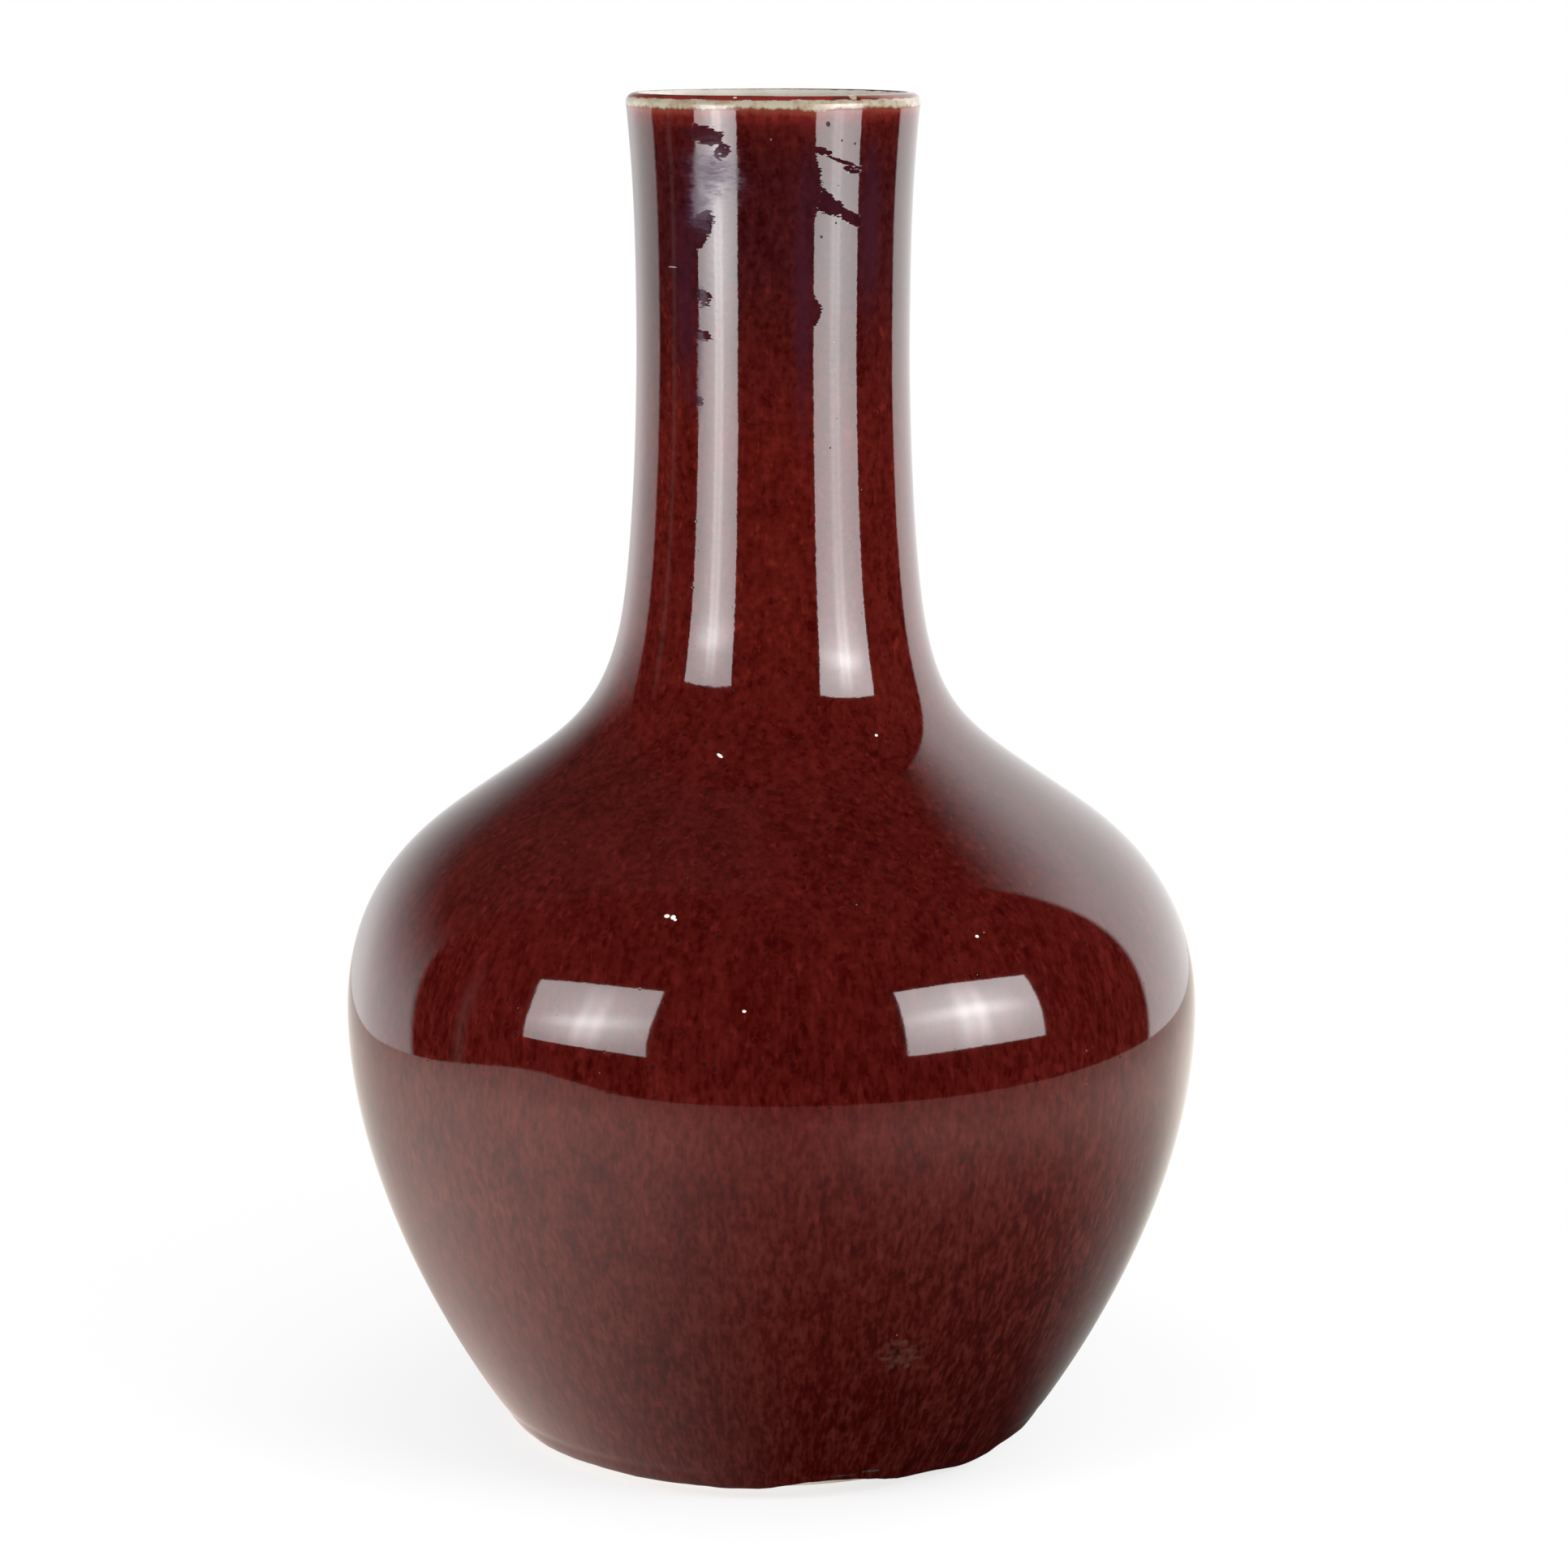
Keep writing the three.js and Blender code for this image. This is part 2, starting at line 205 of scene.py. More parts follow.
class Profile:
    """The stations of the whole vase, worked out from its sizes"""
    CLEARANCE = 0.05 * MM
    FOOT_EDGE = Vector((0.5 * MM, 0.2 * MM))
    ROLL_STEPS, FLOOR_STEPS = 8, 8
    FOOT_LEAN, SHOULDER_LEAN, NECK_ROOT_LEAN, LIP_LEAN = 36, -54.8, -13.1, 5.2
    WALL, SHOULDER, COLLAR = (0.252, 0.346), (0.525, 0.222), (0.49, 0.392)
    NECK, MOUTH, FLOOR = (0.195, 0.329), (0.387, 0.36), (0.5, 0.12)

    def __init__(self, shape):
        self.shape = s = shape
        self.joint_length = s.joint_slant + s.slip
        roll_centre = Vector((s.foot_radius + s.foot_flare + s.roll_radius, s.foot_rise))
        self.roll = arc_stations(roll_centre, s.roll_radius, 180, 360 - self.FOOT_LEAN, 18)
        wall_start = station(0, 0, self.FOOT_LEAN, s.foot_wall)._replace(at=self.roll[-1].at)

        lip = station(s.lip_radius, 0, self.LIP_LEAN, s.neck_wall)
        self.lip_rounding = self.lining_face(lip) / 2
        lip.at.y = s.height - self.lip_rounding * (1 + lip.along.x)
        self.lip = lip
        self.band = slide(lip, -s.lip_band)

        mean_wall = (s.belly_wall + s.neck_wall) / 2
        belly = station(s.belly_radius, s.belly_height, 0, s.belly_wall)
        shoulder = station(s.shoulder_radius, s.shoulder_height, self.SHOULDER_LEAN, mean_wall)
        neck_root = station(s.neck_root_radius, s.neck_root_height, self.NECK_ROOT_LEAN, s.neck_wall)
        waist = station(s.waist_radius, s.waist_height, 0, s.neck_wall)
        self.belly_joint = slide(belly, -self.joint_length / 2)
        self.neck_joint = slide(neck_root, -self.joint_length / 2)
        shoulder_start = slide(self.belly_joint, self.joint_length)
        neck_start = slide(self.neck_joint, self.joint_length)

        whole_wall = curve_between(wall_start, self.belly_joint, self.WALL, 80)
        self.wall = whole_wall[self.ROLL_STEPS:]
        self.upper_wall = (
            curve_between(shoulder_start, shoulder, self.SHOULDER, 20)
            + curve_between(shoulder, self.neck_joint, self.COLLAR, 24)[1:])
        self.neck_wall = (
            curve_between(neck_start, waist, self.NECK, 18)
            + curve_between(waist, self.band, self.MOUTH, 12)[1:])
        self.outside = self.wall + self.upper_wall + self.neck_wall
        self.glaze_face = (
            curve_between(wall_start, belly, self.WALL, 84)[1:]
            + curve_between(belly, shoulder, self.SHOULDER, 44)[1:]
            + curve_between(shoulder, neck_root, self.COLLAR, 26)[1:]
            + curve_between(neck_root, waist, self.NECK, 20)[1:]
            + curve_between(waist, self.band, self.MOUTH, 12)[1:])

        floor_middle = station(0, s.base_recess + s.base_thickness, 90)
        inner_start = self.wall[self.FLOOR_STEPS]
        floor_edge = Station(below(inner_start, self.clay_inside(inner_start)), inner_start.along, 0.0)
        self.floor = curve_between(floor_middle, floor_edge, self.FLOOR, 20)[:-1]
        self.inner_wall = self.wall[self.FLOOR_STEPS:]
        self.inside = self.inner_wall + self.upper_wall + self.neck_wall

        self.recess_radius = s.foot_radius - s.foot_ring - s.foot_chamfer
        corner = Vector((self.recess_radius - s.recess_corner, s.base_recess - s.recess_corner))
        self.recess = [station(0, s.base_recess, 90), station(corner.x / 2, s.base_recess, 90)]
        self.recess += arc_stations(corner, s.recess_corner, 90, 0, 8)

    def clay_outside(self, place=None):
        return self.shape.red_thickness + self.CLEARANCE

    def clay_inside(self, place):
        return self.clay_outside() + place.wall

    def lining_back(self, place):
        return self.clay_inside(place) + self.CLEARANCE

    def lining_face(self, place):
        return self.lining_back(place) + self.shape.pale_thickness

    def layer(self, places, depth_at):
        return [below(place, depth_at(place)) for place in places]

    def edge(self, joint, distance, depth_at):
        return below(slide(joint, distance), depth_at(joint))

    def lip_round(self, middle_depth, half_width, rise):
        """The half round of the lip, between its outer and inner springing"""
        centre = below(self.lip, middle_depth)
        points = []
        for degrees in range(10, 180, 10):
            angle = math.radians(degrees)
            points.append(centre + out_of(self.lip) * (half_width * math.cos(angle))
                          + self.lip.along * (rise * math.sin(angle)))
        return points

    def lower_bowl(self):
        s = self.shape
        foot = [
            Vector((self.recess_radius, s.foot_chamfer)),
            Vector((self.recess_radius + s.foot_chamfer, 0)),
            Vector((s.foot_radius - self.FOOT_EDGE.x, 0)),
            Vector((s.foot_radius, self.FOOT_EDGE.y)),
            self.roll[0].at + Vector((-self.CLEARANCE, self.CLEARANCE)),
        ]
        return (
            self.layer(self.recess, lambda place: 0) + foot + self.layer(self.wall, self.clay_outside)
            + [self.edge(self.belly_joint, s.joint_slant, self.clay_inside)]
            + self.layer(self.inner_wall, self.clay_inside)[::-1]
            + self.layer(self.floor, lambda place: 0)[::-1]), False

    def upper_bowl(self):
        s = self.shape
        return (
            [self.edge(self.belly_joint, s.slip, self.clay_outside)]
            + self.layer(self.upper_wall, self.clay_outside)
            + [self.edge(self.neck_joint, s.joint_slant, self.clay_inside)]
            + self.layer(self.upper_wall, self.clay_inside)[::-1]), True

    def neck(self):
        s = self.shape
        middle = self.clay_outside() + s.neck_wall / 2
        rise = self.lip_rounding - s.pale_thickness - self.CLEARANCE
        return (
            [self.edge(self.neck_joint, s.slip, self.clay_outside)]
            + self.layer(self.neck_wall + [self.lip], self.clay_outside)
            + self.lip_round(middle, s.neck_wall / 2, rise)
            + self.layer(self.neck_wall + [self.lip], self.clay_inside)[::-1]), True

    def seam(self, joint):
        s, c = self.shape, self.CLEARANCE
        return [
            self.edge(joint, c, self.clay_outside),
            self.edge(joint, s.slip - c, self.clay_outside),
            self.edge(joint, self.joint_length - c, self.clay_inside),
            self.edge(joint, s.joint_slant + c, self.clay_inside),
        ], True

    def red_glaze(self):
        face = [place.at for place in self.roll + self.glaze_face]
        back = self.layer(self.outside, lambda place: self.shape.red_thickness)[::-1]
        return face + back, True, len(face)

    def lip_glaze(self):
        s, c = self.shape, self.CLEARANCE
        sides = [slide(self.band, c), self.lip]
        middle = self.clay_outside() + s.neck_wall / 2
        rise = self.lip_rounding - s.pale_thickness
        face = (
            self.layer(sides, lambda place: 0) + self.lip_round(*[self.lip_rounding] * 3)
            + self.layer(sides, self.lining_face)[::-1])
        back = (
            self.layer(sides, self.lining_back) + self.lip_round(middle, s.neck_wall / 2 + c, rise)[::-1]
            + self.layer(sides, lambda place: s.red_thickness)[::-1])
        return face + back, True, len(face)

    def inner_glaze(self):
        c = self.CLEARANCE
        back = self.layer(self.floor, lambda place: c) + self.layer(self.inside, self.lining_back)
        face = (
            self.layer(self.inside, self.lining_face)[::-1]
            + self.layer(self.floor, lambda place: c + self.shape.pale_thickness)[::-1])
        return back + face, False

    def base_glaze(self):
        s, c = self.shape, self.CLEARANCE
        glazed = self.recess + [station(self.recess_radius, s.bare_foot, 180)]
        return (
            self.layer(glazed, lambda place: -c - s.pale_thickness)
            + self.layer(glazed, lambda place: -c)[::-1]), False


# Node wiring

class Wiring:
    """Adds nodes to a tree and joins them, so that a tree reads like a formula"""

    def __init__(self, tree):
        self.tree = tree
        self.x = 0

    def add(self, kind, inputs=(), **options):
        node = self.tree.nodes.new(kind)
        self.x += 180
        node.location = (self.x, 0)
        for key, value in options.items():
            setattr(node, key, value)
        for socket, value in dict(inputs).items():
            self.feed(node.inputs[socket], value)
        return node

    def first(self, kind, inputs=(), **options):
        """The first output of a new node"""
        return self.add(kind, inputs, **options).outputs[0]

    def feed(self, socket, value):
        if isinstance(value, bpy.types.NodeSocket):
            self.tree.links.new(value, socket)
        elif value is not None:
            socket.default_value = value

    def math(self, operation, a, b=None):
        return self.first("ShaderNodeMath", {0: a, 1: b}, operation=operation)

    def times(self, a, b):
        return self.math("MULTIPLY", a, b)

    def plus(self, a, b):
        return self.math("ADD", a, b)

    def minus(self, a, b):
        return self.math("SUBTRACT", a, b)

    def swing(self, pattern, depth):
        """A pattern between nought and one as a change to both sides of nought, this deep in all"""
        return self.times(self.minus(pattern, 0.5), depth)

    def vector(self, operation, a, b=None):
        second = "Scale" if operation == "SCALE" else 1
        node = self.add("ShaderNodeVectorMath", {0: a, second: b}, operation=operation)
        return node.outputs["Value" if operation == "LENGTH" else "Vector"]

    def split(self, vector):
        return self.add("ShaderNodeSeparateXYZ", {0: vector}).outputs

    def join(self, x, y, z):
        return self.first("ShaderNodeCombineXYZ", {0: x, 1: y, 2: z})

    def ramp(self, value, low, high, to_low=0.0, to_high=1.0, smooth=True):
        """A value that goes from to_low at low to to_high at high"""
        return self.first(
            "ShaderNodeMapRange",
            {"Value": value, "From Min": low, "From Max": high, "To Min": to_low, "To Max": to_high},
            interpolation_type="SMOOTHSTEP" if smooth else "LINEAR")

    def blend(self, factor, at_nought, at_one):
        return self.ramp(factor, 0.0, 1.0, at_nought, at_one)

    def hump(self, value, centre, half_width):
        """One at the centre, and nought beyond the half width on both sides of it"""
        return self.ramp(self.math("ABSOLUTE", self.minus(value, centre)), half_width, 0.0)

    def noise(self, vector, scale, detail=2.0, roughness=0.5, seed=0.0, distortion=0.0):
        return self.first(
            "ShaderNodeTexNoise",
            {"Vector": vector, "W": seed, "Scale": scale, "Detail": detail,
             "Roughness": roughness, "Distortion": distortion},
            noise_dimensions="4D")

    def front_angle(self, position):
        """The angle round the axis, which is nought at the front and positive to the right"""
        x, y, _ = self.split(position)
        return self.math("ARCTAN2", x, self.times(y, -1.0))

    def degrees(self, position):
        return self.times(self.front_angle(position), 180 / math.pi)

    def radius(self, position):
        x, y, _ = self.split(position)
        return self.vector("LENGTH", self.join(x, y, 0.0))

    def by_height(self, height, stops):
        """A colour that changes with the height, from pairs of millimetres and colour"""
        node = self.add("ShaderNodeValToRGB", {"Fac": self.math("DIVIDE", height, TOP)})
        elements = node.color_ramp.elements
        while len(elements) < len(stops):
            elements.new(1.0)
        for element, (millimetres, colour_here) in zip(elements, stops):
            element.position = millimetres * MM / TOP
            element.color = full(colour_here)
        return node.outputs["Color"]

    def places(self, angle, height, listed, ragged=0.0, soft=0.12):
        """One inside the listed ovals, with a ragged and soft edge"""
        shape = None
        for at, up, half_width, half_height, slant, fullness in listed:
            across = self.times(self.minus(angle, at), 1 / half_width)
            rise = self.times(self.minus(height, up * MM), 1 / (half_height * MM))
            rise = self.minus(rise, self.times(across, slant * half_width / half_height))
            oval = self.minus(1.0, self.vector("LENGTH", self.join(across, rise, 0.0)))
            oval = self.math("MINIMUM", oval, fullness)
            shape = oval if shape is None else self.math("MAXIMUM", shape, oval)
        return self.ramp(self.plus(shape, ragged), 0.0, soft)

    def mix(self, factor, a, b):
        """A colour between a and b"""
        node = self.add("ShaderNodeMix", data_type="RGBA")
        self.feed(node.inputs["Factor"], factor)
        self.feed(node.inputs["A"], full(a))
        self.feed(node.inputs["B"], full(b))
        return node.outputs["Result"]


def full(value):
    """A colour with its alpha, or the socket as it is"""
    return value if isinstance(value, bpy.types.NodeSocket) else (*value, 1.0)


# Geometry trees

def new_tree(name, sockets):
    tree = bpy.data.node_groups.new(name, "GeometryNodeTree")
    tree.interface.new_socket("Geometry", in_out="INPUT", socket_type="NodeSocketGeometry")
    for label, (kind, default) in sockets.items():
        socket = tree.interface.new_socket(label, in_out="INPUT", socket_type=f"NodeSocket{kind}")
        if default is not None:
            socket.default_value = default
    tree.interface.new_socket("Geometry", in_out="OUTPUT", socket_type="NodeSocketGeometry")
    wiring = Wiring(tree)
    return tree, wiring, wiring.add("NodeGroupInput").outputs


def end_tree(w, body, material):
    """Both trees end in a real mesh with its material"""
    body = w.first("GeometryNodeRealizeInstances", {"Geometry": body})
    body = w.first("GeometryNodeSetMaterial", {"Geometry": body, "Material": material})
    w.add("NodeGroupOutput", {"Geometry": body})


TURNING_SOCKETS = {
    "Sides": ("Int", 256),
    "Shoulder Drift": ("Float", 0.0),
    "Shoulder Height": ("Float", 0.185),
    "Neck Drift": ("Float", 0.0),
    "Neck Height": ("Float", 0.23),
    "Mouth Dip": ("Float", 0.0),
    "Mouth Tilt": ("Float", 0.0),
    "Material": ("Material", None),
}
WHEEL_RADIUS = 1 * MM
POLE_GAP = 0.002 * MM
CREASE = math.radians(40)
SHOULDER_HALF, NECK_BLEND, MOUTH_DEPTH = 75 * MM, 15 * MM, 22 * MM


def turning_tree():
    """Sweeps a profile of radius and height round the axis, and lets the sections drift a little"""
    tree, w, given = new_tree("Turned Form", TURNING_SOCKETS)
    profile = w.first("GeometryNodeMeshToCurve", {"Mesh": given["Geometry"]})
    profile = w.first("GeometryNodeTransform", {
        "Geometry": profile, "Translation": (-WHEEL_RADIUS, 0.0, 0.0), "Scale": (1.0, -1.0, 1.0)})
    circle = {"Resolution": given["Sides"], "Radius": WHEEL_RADIUS}
    wheel = w.first("GeometryNodeCurvePrimitiveCircle", circle)
    body = w.first("GeometryNodeCurveToMesh", {"Curve": wheel, "Profile Curve": profile})
    body = w.first("GeometryNodeFlipFaces", {"Mesh": body})
    body = w.first("GeometryNodeMergeByDistance", {"Geometry": body, "Distance": POLE_GAP})

    _, back, height = w.split(w.first("GeometryNodeInputPosition"))
    shoulder = w.times(w.hump(height, given["Shoulder Height"], SHOULDER_HALF), given["Shoulder Drift"])
    neck_start = w.minus(given["Neck Height"], NECK_BLEND)
    neck_end = w.plus(given["Neck Height"], NECK_BLEND)
    neck = w.times(w.ramp(height, neck_start, neck_end), given["Neck Drift"])
    tilt = w.times(w.math("DIVIDE", back, LIP_RADIUS), given["Mouth Tilt"])
    fall = w.ramp(height, TOP - MOUTH_DEPTH, TOP, 0.0, -1.0)
    settled = w.times(fall, w.plus(given["Mouth Dip"], tilt))
    drift = w.join(w.plus(shoulder, neck), 0.0, settled)
    body = w.first("GeometryNodeSetPosition", {"Geometry": body, "Offset": drift})

    crease = w.math("GREATER_THAN", w.first("GeometryNodeInputMeshEdgeAngle"), CREASE)
    body = w.first("GeometryNodeSetShadeSmooth", {"Geometry": body}, domain="FACE")
    body = w.first(
        "GeometryNodeSetShadeSmooth", {"Geometry": body, "Selection": crease, "Shade Smooth": False},
        domain="EDGE")
    end_tree(w, body, given["Material"])
    return tree


COAT_SOCKETS = {
    **TURNING_SOCKETS,
    "Ripple": ("Float", 0.0),
    "Ripple Size": ("Float", 0.03),
    "Wave": ("Float", 0.0),
    "Wave Height": ("Float", 0.146),
    "Ground Lift": ("Float", 0.0),
    "Drip": ("Float", 0.0),
    "Groove": ("Float", 0.0),
    "Groove Height": ("Float", 0.009),
    "Roll Bottom": ("Float", 0.0035),
    "Roll Top": ("Float", 0.0095),
    "Seed": ("Float", 0.0),
}
GROUND_ANGLE, GROUND_HALF = math.radians(12), math.radians(26)
DRIP_ANGLE, DRIP_HALF = math.radians(46), math.radians(12)
WAVE_ANGLE, WAVE_HALF = math.radians(-31), math.radians(25)
WAVE_HALF_HEIGHT, GROOVE_HALF_HEIGHT = 14 * MM, 2.6 * MM
HEM_UNEVEN, HEM_SCALE = 1.1 * MM, 7.0
GROUND_MARGIN, GROUND_GAIN = 1.5 * MM, 1.44


def coat_tree(turning):
    """A turned glaze coat that ripples, swells over the joint, runs at the hem and is ground there"""
    tree, w, given = new_tree("Running Glaze", COAT_SOCKETS)
    turned = w.add("GeometryNodeGroup", node_tree=turning)
    for label in ("Geometry", *TURNING_SOCKETS):
        w.feed(turned.inputs[label], given[label])

    position = w.first("GeometryNodeInputPosition")
    skin = w.add("GeometryNodeInputNamedAttribute", {"Name": "skin"}, data_type="FLOAT").outputs["Attribute"]
    normal = w.first("GeometryNodeInputNormal")
    waves = w.vector("SCALE", position, w.math("DIVIDE", 1.0, given["Ripple Size"]))
    ripple = w.swing(w.noise(waves, 1.0, 1.0, seed=given["Seed"]), w.times(given["Ripple"], 2.0))
    height = w.split(position)[2]
    swelling = w.times(w.hump(w.front_angle(position), WAVE_ANGLE, WAVE_HALF),
                       w.hump(height, given["Wave Height"], WAVE_HALF_HEIGHT))
    groove = w.times(w.hump(height, given["Groove Height"], GROOVE_HALF_HEIGHT), given["Groove"])
    out = w.minus(w.plus(ripple, w.times(swelling, given["Wave"])), groove)
    offset = w.vector("SCALE", normal, w.times(out, skin))
    body = w.first("GeometryNodeSetPosition", {"Geometry": turned.outputs["Geometry"], "Offset": offset})

    position = w.first("GeometryNodeInputPosition")
    x, y, height = w.split(position)
    angle = w.front_angle(position)
    weight = w.ramp(height, given["Roll Top"], given["Roll Bottom"])
    round_the_hem = w.vector("NORMALIZE", w.join(x, y, 0.0))
    uneven = w.swing(w.noise(round_the_hem, HEM_SCALE, 2.0, seed=given["Seed"]), HEM_UNEVEN)
    run = w.minus(uneven, w.times(w.hump(angle, DRIP_ANGLE, DRIP_HALF), given["Drip"]))
    moved = w.plus(height, w.times(run, weight))
    lift = w.times(w.hump(angle, GROUND_ANGLE, GROUND_HALF), given["Ground Lift"])
    ground = w.plus(w.minus(given["Roll Bottom"], GROUND_MARGIN), w.times(lift, GROUND_GAIN))
    moved = w.math("MAXIMUM", moved, ground)
    low = w.math("LESS_THAN", height, w.plus(given["Roll Top"], 1 * MM))
    body = w.first(
        "GeometryNodeSetPosition", {"Geometry": body, "Selection": low, "Position": w.join(x, y, moved)})
    end_tree(w, body, given["Material"])
    return tree


def profile_mesh(name, points, closed, face_count=0):
    """The profile as a chain of edges, with the attribute skin on the points that show"""
    mesh = bpy.data.meshes.new(name)
    count = len(points)
    edges = [(i, i + 1) for i in range(count - 1)] + ([(count - 1, 0)] if closed else [])
    mesh.from_pydata([(max(p.x, 0.0), p.y, 0.0) for p in points], edges, [])
    skin = mesh.attributes.new("skin", "FLOAT", "POINT")
    for index in range(count):
        skin.data[index].value = 1.0 if index < face_count else 0.0
    return mesh


def turn(bench, name, profile, material, node, slot, coat_inputs=None):
    """Turns one profile into a finished plain mesh that stands for its node"""
    tree = bench.coat if coat_inputs else bench.turning
    inputs = {**drift_inputs(bench.shape, bench.making), "Material": material, **(coat_inputs or {})}
    source = bpy.data.objects.new(name, profile_mesh(name, *profile))
    bpy.context.scene.collection.objects.link(source)
    modifier = source.modifiers.new("Turning", "NODES")
    modifier.node_group = tree
    for item in tree.interface.items_tree:
        if item.in_out == "INPUT" and item.name in inputs:
            modifier[item.identifier] = inputs[item.name]
    depsgraph = bpy.context.evaluated_depsgraph_get()
    mesh = bpy.data.meshes.new_from_object(source.evaluated_get(depsgraph), depsgraph=depsgraph)
    source.modifiers.remove(modifier)
    source.data = mesh
    mesh.name = name
    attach(source, "root")
    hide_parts(node)
    return source


# Places on the glaze, each with its angle in degrees from the front, height in mm, half width in degrees,
# half height in mm, slant in mm for each degree, and fullness, which is below one where a place stays faint
DULL_PLACES = (
    (-28.0, 389.2, 9.5, 2.9, -0.10, 1.00),
    (-20.0, 384.8, 3.5, 2.2, 0.20, 0.22),
    (-30.0, 363.5, 6.5, 4.5, 0.45, 0.60),
    (-32.5, 359.5, 5.0, 3.0, 0.20, 0.60),
    (-32.0, 343.0, 7.0, 2.8, 0.10, 0.16),
    (-31.5, 333.2, 6.0, 1.6, -0.15, 0.80),
    (-34.0, 314.5, 5.0, 1.7, -0.20, 0.60),
    (18.0, 385.0, 7.0, 1.3, -0.15, 1.00),
    (29.0, 381.7, 9.0, 0.6, -0.22, 0.80),
    (34.0, 379.6, 5.0, 1.5, -0.05, 0.20),
    (15.5, 376.5, 4.5, 10.0, 0.00, 1.00),
    (22.0, 370.3, 9.0, 3.2, -0.35, 0.90),
    (33.0, 366.2, 7.5, 2.1, -0.30, 0.70),
    (16.0, 340.0, 4.2, 5.0, 0.00, 0.70),
)
# Matt places on the neck: rougher, and painted lilac as a painted blurred reflection of the soft box
HAZY_PLACES = (
    (-24.5, 379.0, 17.0, 14.0, -0.10, 1.0),
    (-30.0, 369.0, 10.0, 10.0, 0.00, 1.0),
    (-29.5, 343.0, 3.0, 7.0, 0.00, 0.6),
    (-30.5, 322.0, 3.0, 20.0, 0.00, 0.5),
)
PURPLE_PLACES = (
    (12.5, 345.0, 6.0, 55.0, 0.00, 1.0),
    (43.0, 362.0, 8.0, 36.0, 0.00, 1.0),
    (-38.0, 345.0, 9.0, 40.0, 0.00, 1.0),
    (-24.0, 374.0, 16.0, 14.0, 0.00, 1.0),
    (26.0, 372.0, 15.0, 12.0, 0.00, 1.0),
)
PITS = (
    (21.7, 392.3, 0.95, 0.80, 0.0, 1.0),
    (27.8, 387.7, 0.45, 0.35, 0.0, 1.0),
    (33.8, 386.7, 0.50, 0.40, 0.0, 1.0),
    (26.3, 364.6, 0.45, 0.35, 0.0, 1.0),
    (20.0, 360.8, 0.60, 0.45, 0.0, 1.0),
    (24.0, 301.0, 0.35, 0.30, 0.0, 1.0),
)
# Pale dots painted where pinholes would catch the soft boxes: painted glints
PAINTED_GLINTS = (
    (-14.7, 215.5, 0.95, 0.40, -0.4, 1.0),
    (-15.9, 179.3, 0.45, 0.42, 0.0, 1.0),
    (-14.9, 179.1, 0.40, 0.55, 0.0, 1.0),
    (-14.5, 178.6, 0.25, 0.30, 0.0, 1.0),
    (30.4, 172.3, 0.30, 0.35, 0.0, 0.8),
    (-3.6, 157.3, 0.28, 0.35, 0.0, 0.8),
    (32.6, 219.4, 0.55, 0.35, 0.0, 0.8),
    (-45.3, 351.6, 2.60, 0.20, 0.0, 0.04),
)
LIP_NOTCH = ((33.0, 399.6, 1.9, 0.95, 0.0, 1.0),)
LIP_CHIP = ((35.2, 399.0, 1.0, 0.55, 0.0, 1.0),)
# A pale dot painted on the crest of the lip: a painted glint
LIP_GLINT = ((-14.6, 399.5, 0.9, 0.25, 0.0, 1.0),)
SCUFF = ((19.6, 52.5, 4.2, 5.6, 0.0, 0.5),)
GROUND_EDGE = ((19.5, 9.2, 1.8, 0.5, 0.0, 0.3), (14.0, 8.4, 2.4, 0.3, 0.0, 0.2))


# Materials

# Heights between which the look of the red changes
LOW_BELLY = (150 * MM, 110 * MM)
LOWER_RIGHT = (115 * MM, 75 * MM)
MIDDLE = (130 * MM, 190 * MM)
SHOULDER_TOP = (200 * MM, 260 * MM)
NECK_ROOT = (215 * MM, 245 * MM)
LOWER_NECK = (235 * MM, 275 * MM)
UPPER_NECK = (318 * MM, 362 * MM)
HEM = (7.5 * MM, 4.2 * MM)
BROWN_BAND = (394.0 * MM, 396.3 * MM)
PALE_BAND = (396.1 * MM, 397.0 * MM)
CREST = (398.65 * MM, 398.95 * MM)
# Radii between which the lip passes from the lining to the crest, and from the crest to the outside
LINING_EDGE = (39.6 * MM, 38.8 * MM)
CREST_INNER = (38.6 * MM, 39.1 * MM)
CREST_OUTER = (40.2 * MM, 39.8 * MM)

# Heights in mm at which the red has one of its colours
RED_STOPS = (
    (4, "foot_red"), (30, "foot_red"), (100, "low_red"), (122, "low_red"), (142, "belly_red"),
    (200, "shoulder_red"), (240, "neck_red"), (300, "neck_red"), (330, "waist_red"),
    (352, "wine"), (380, "wine"), (391, "waist_red"), (395.5, "bright_red"))

# Noise patterns: scale for each metre, detail and roughness
THREADS, GRAINS, STREAKS, CLOUDS = (800.0, 1.0, 0.5), (430.0, 2.0, 0.6), (330.0, 2.0, 0.6), (70.0, 3.0, 0.6)
FLECKS, BRISTLE, CURL, VEIL = (400.0, 2.0, 0.55), (900.0, 2.0, 0.6), (190.0, 3.0, 0.6), (95.0, 3.0, 0.6)
PEEL, RUNS, SAGS, PATCHES = (520.0, 2.0, 0.5), (430.0, 3.0, 0.6), (85.0, 2.0, 0.5), (260.0, 3.0, 0.6)
LIP_CLOUDS, LIP_EDGE = (160.0, 3.0, 0.6), (210.0, 3.0, 0.65)
LIP_TINT, LIP_PEEL = (90.0, 2.0, 0.5), (400.0, 2.0, 0.5)
PALE_CLOUDS, IRON, GRIT = (40.0, 4.0, 0.55), (700.0, 1.0, 0.5), (900.0, 4.0, 0.65)
# Cells for each metre
SPECK_CELLS, STAR_CELLS, CRACKLE_CELLS = 290.0, 170.0, 110.0
# How much each pattern changes the tone low down and above, and how much more at the lower right
THREAD_DEPTHS, GRAIN_DEPTHS, STREAK_DEPTHS = (1.4, 0.5, 0.7), (0.7, 1.6, 0.4), (1.4, 1.0, 0.5)
DARKEST_TONE = 0.45
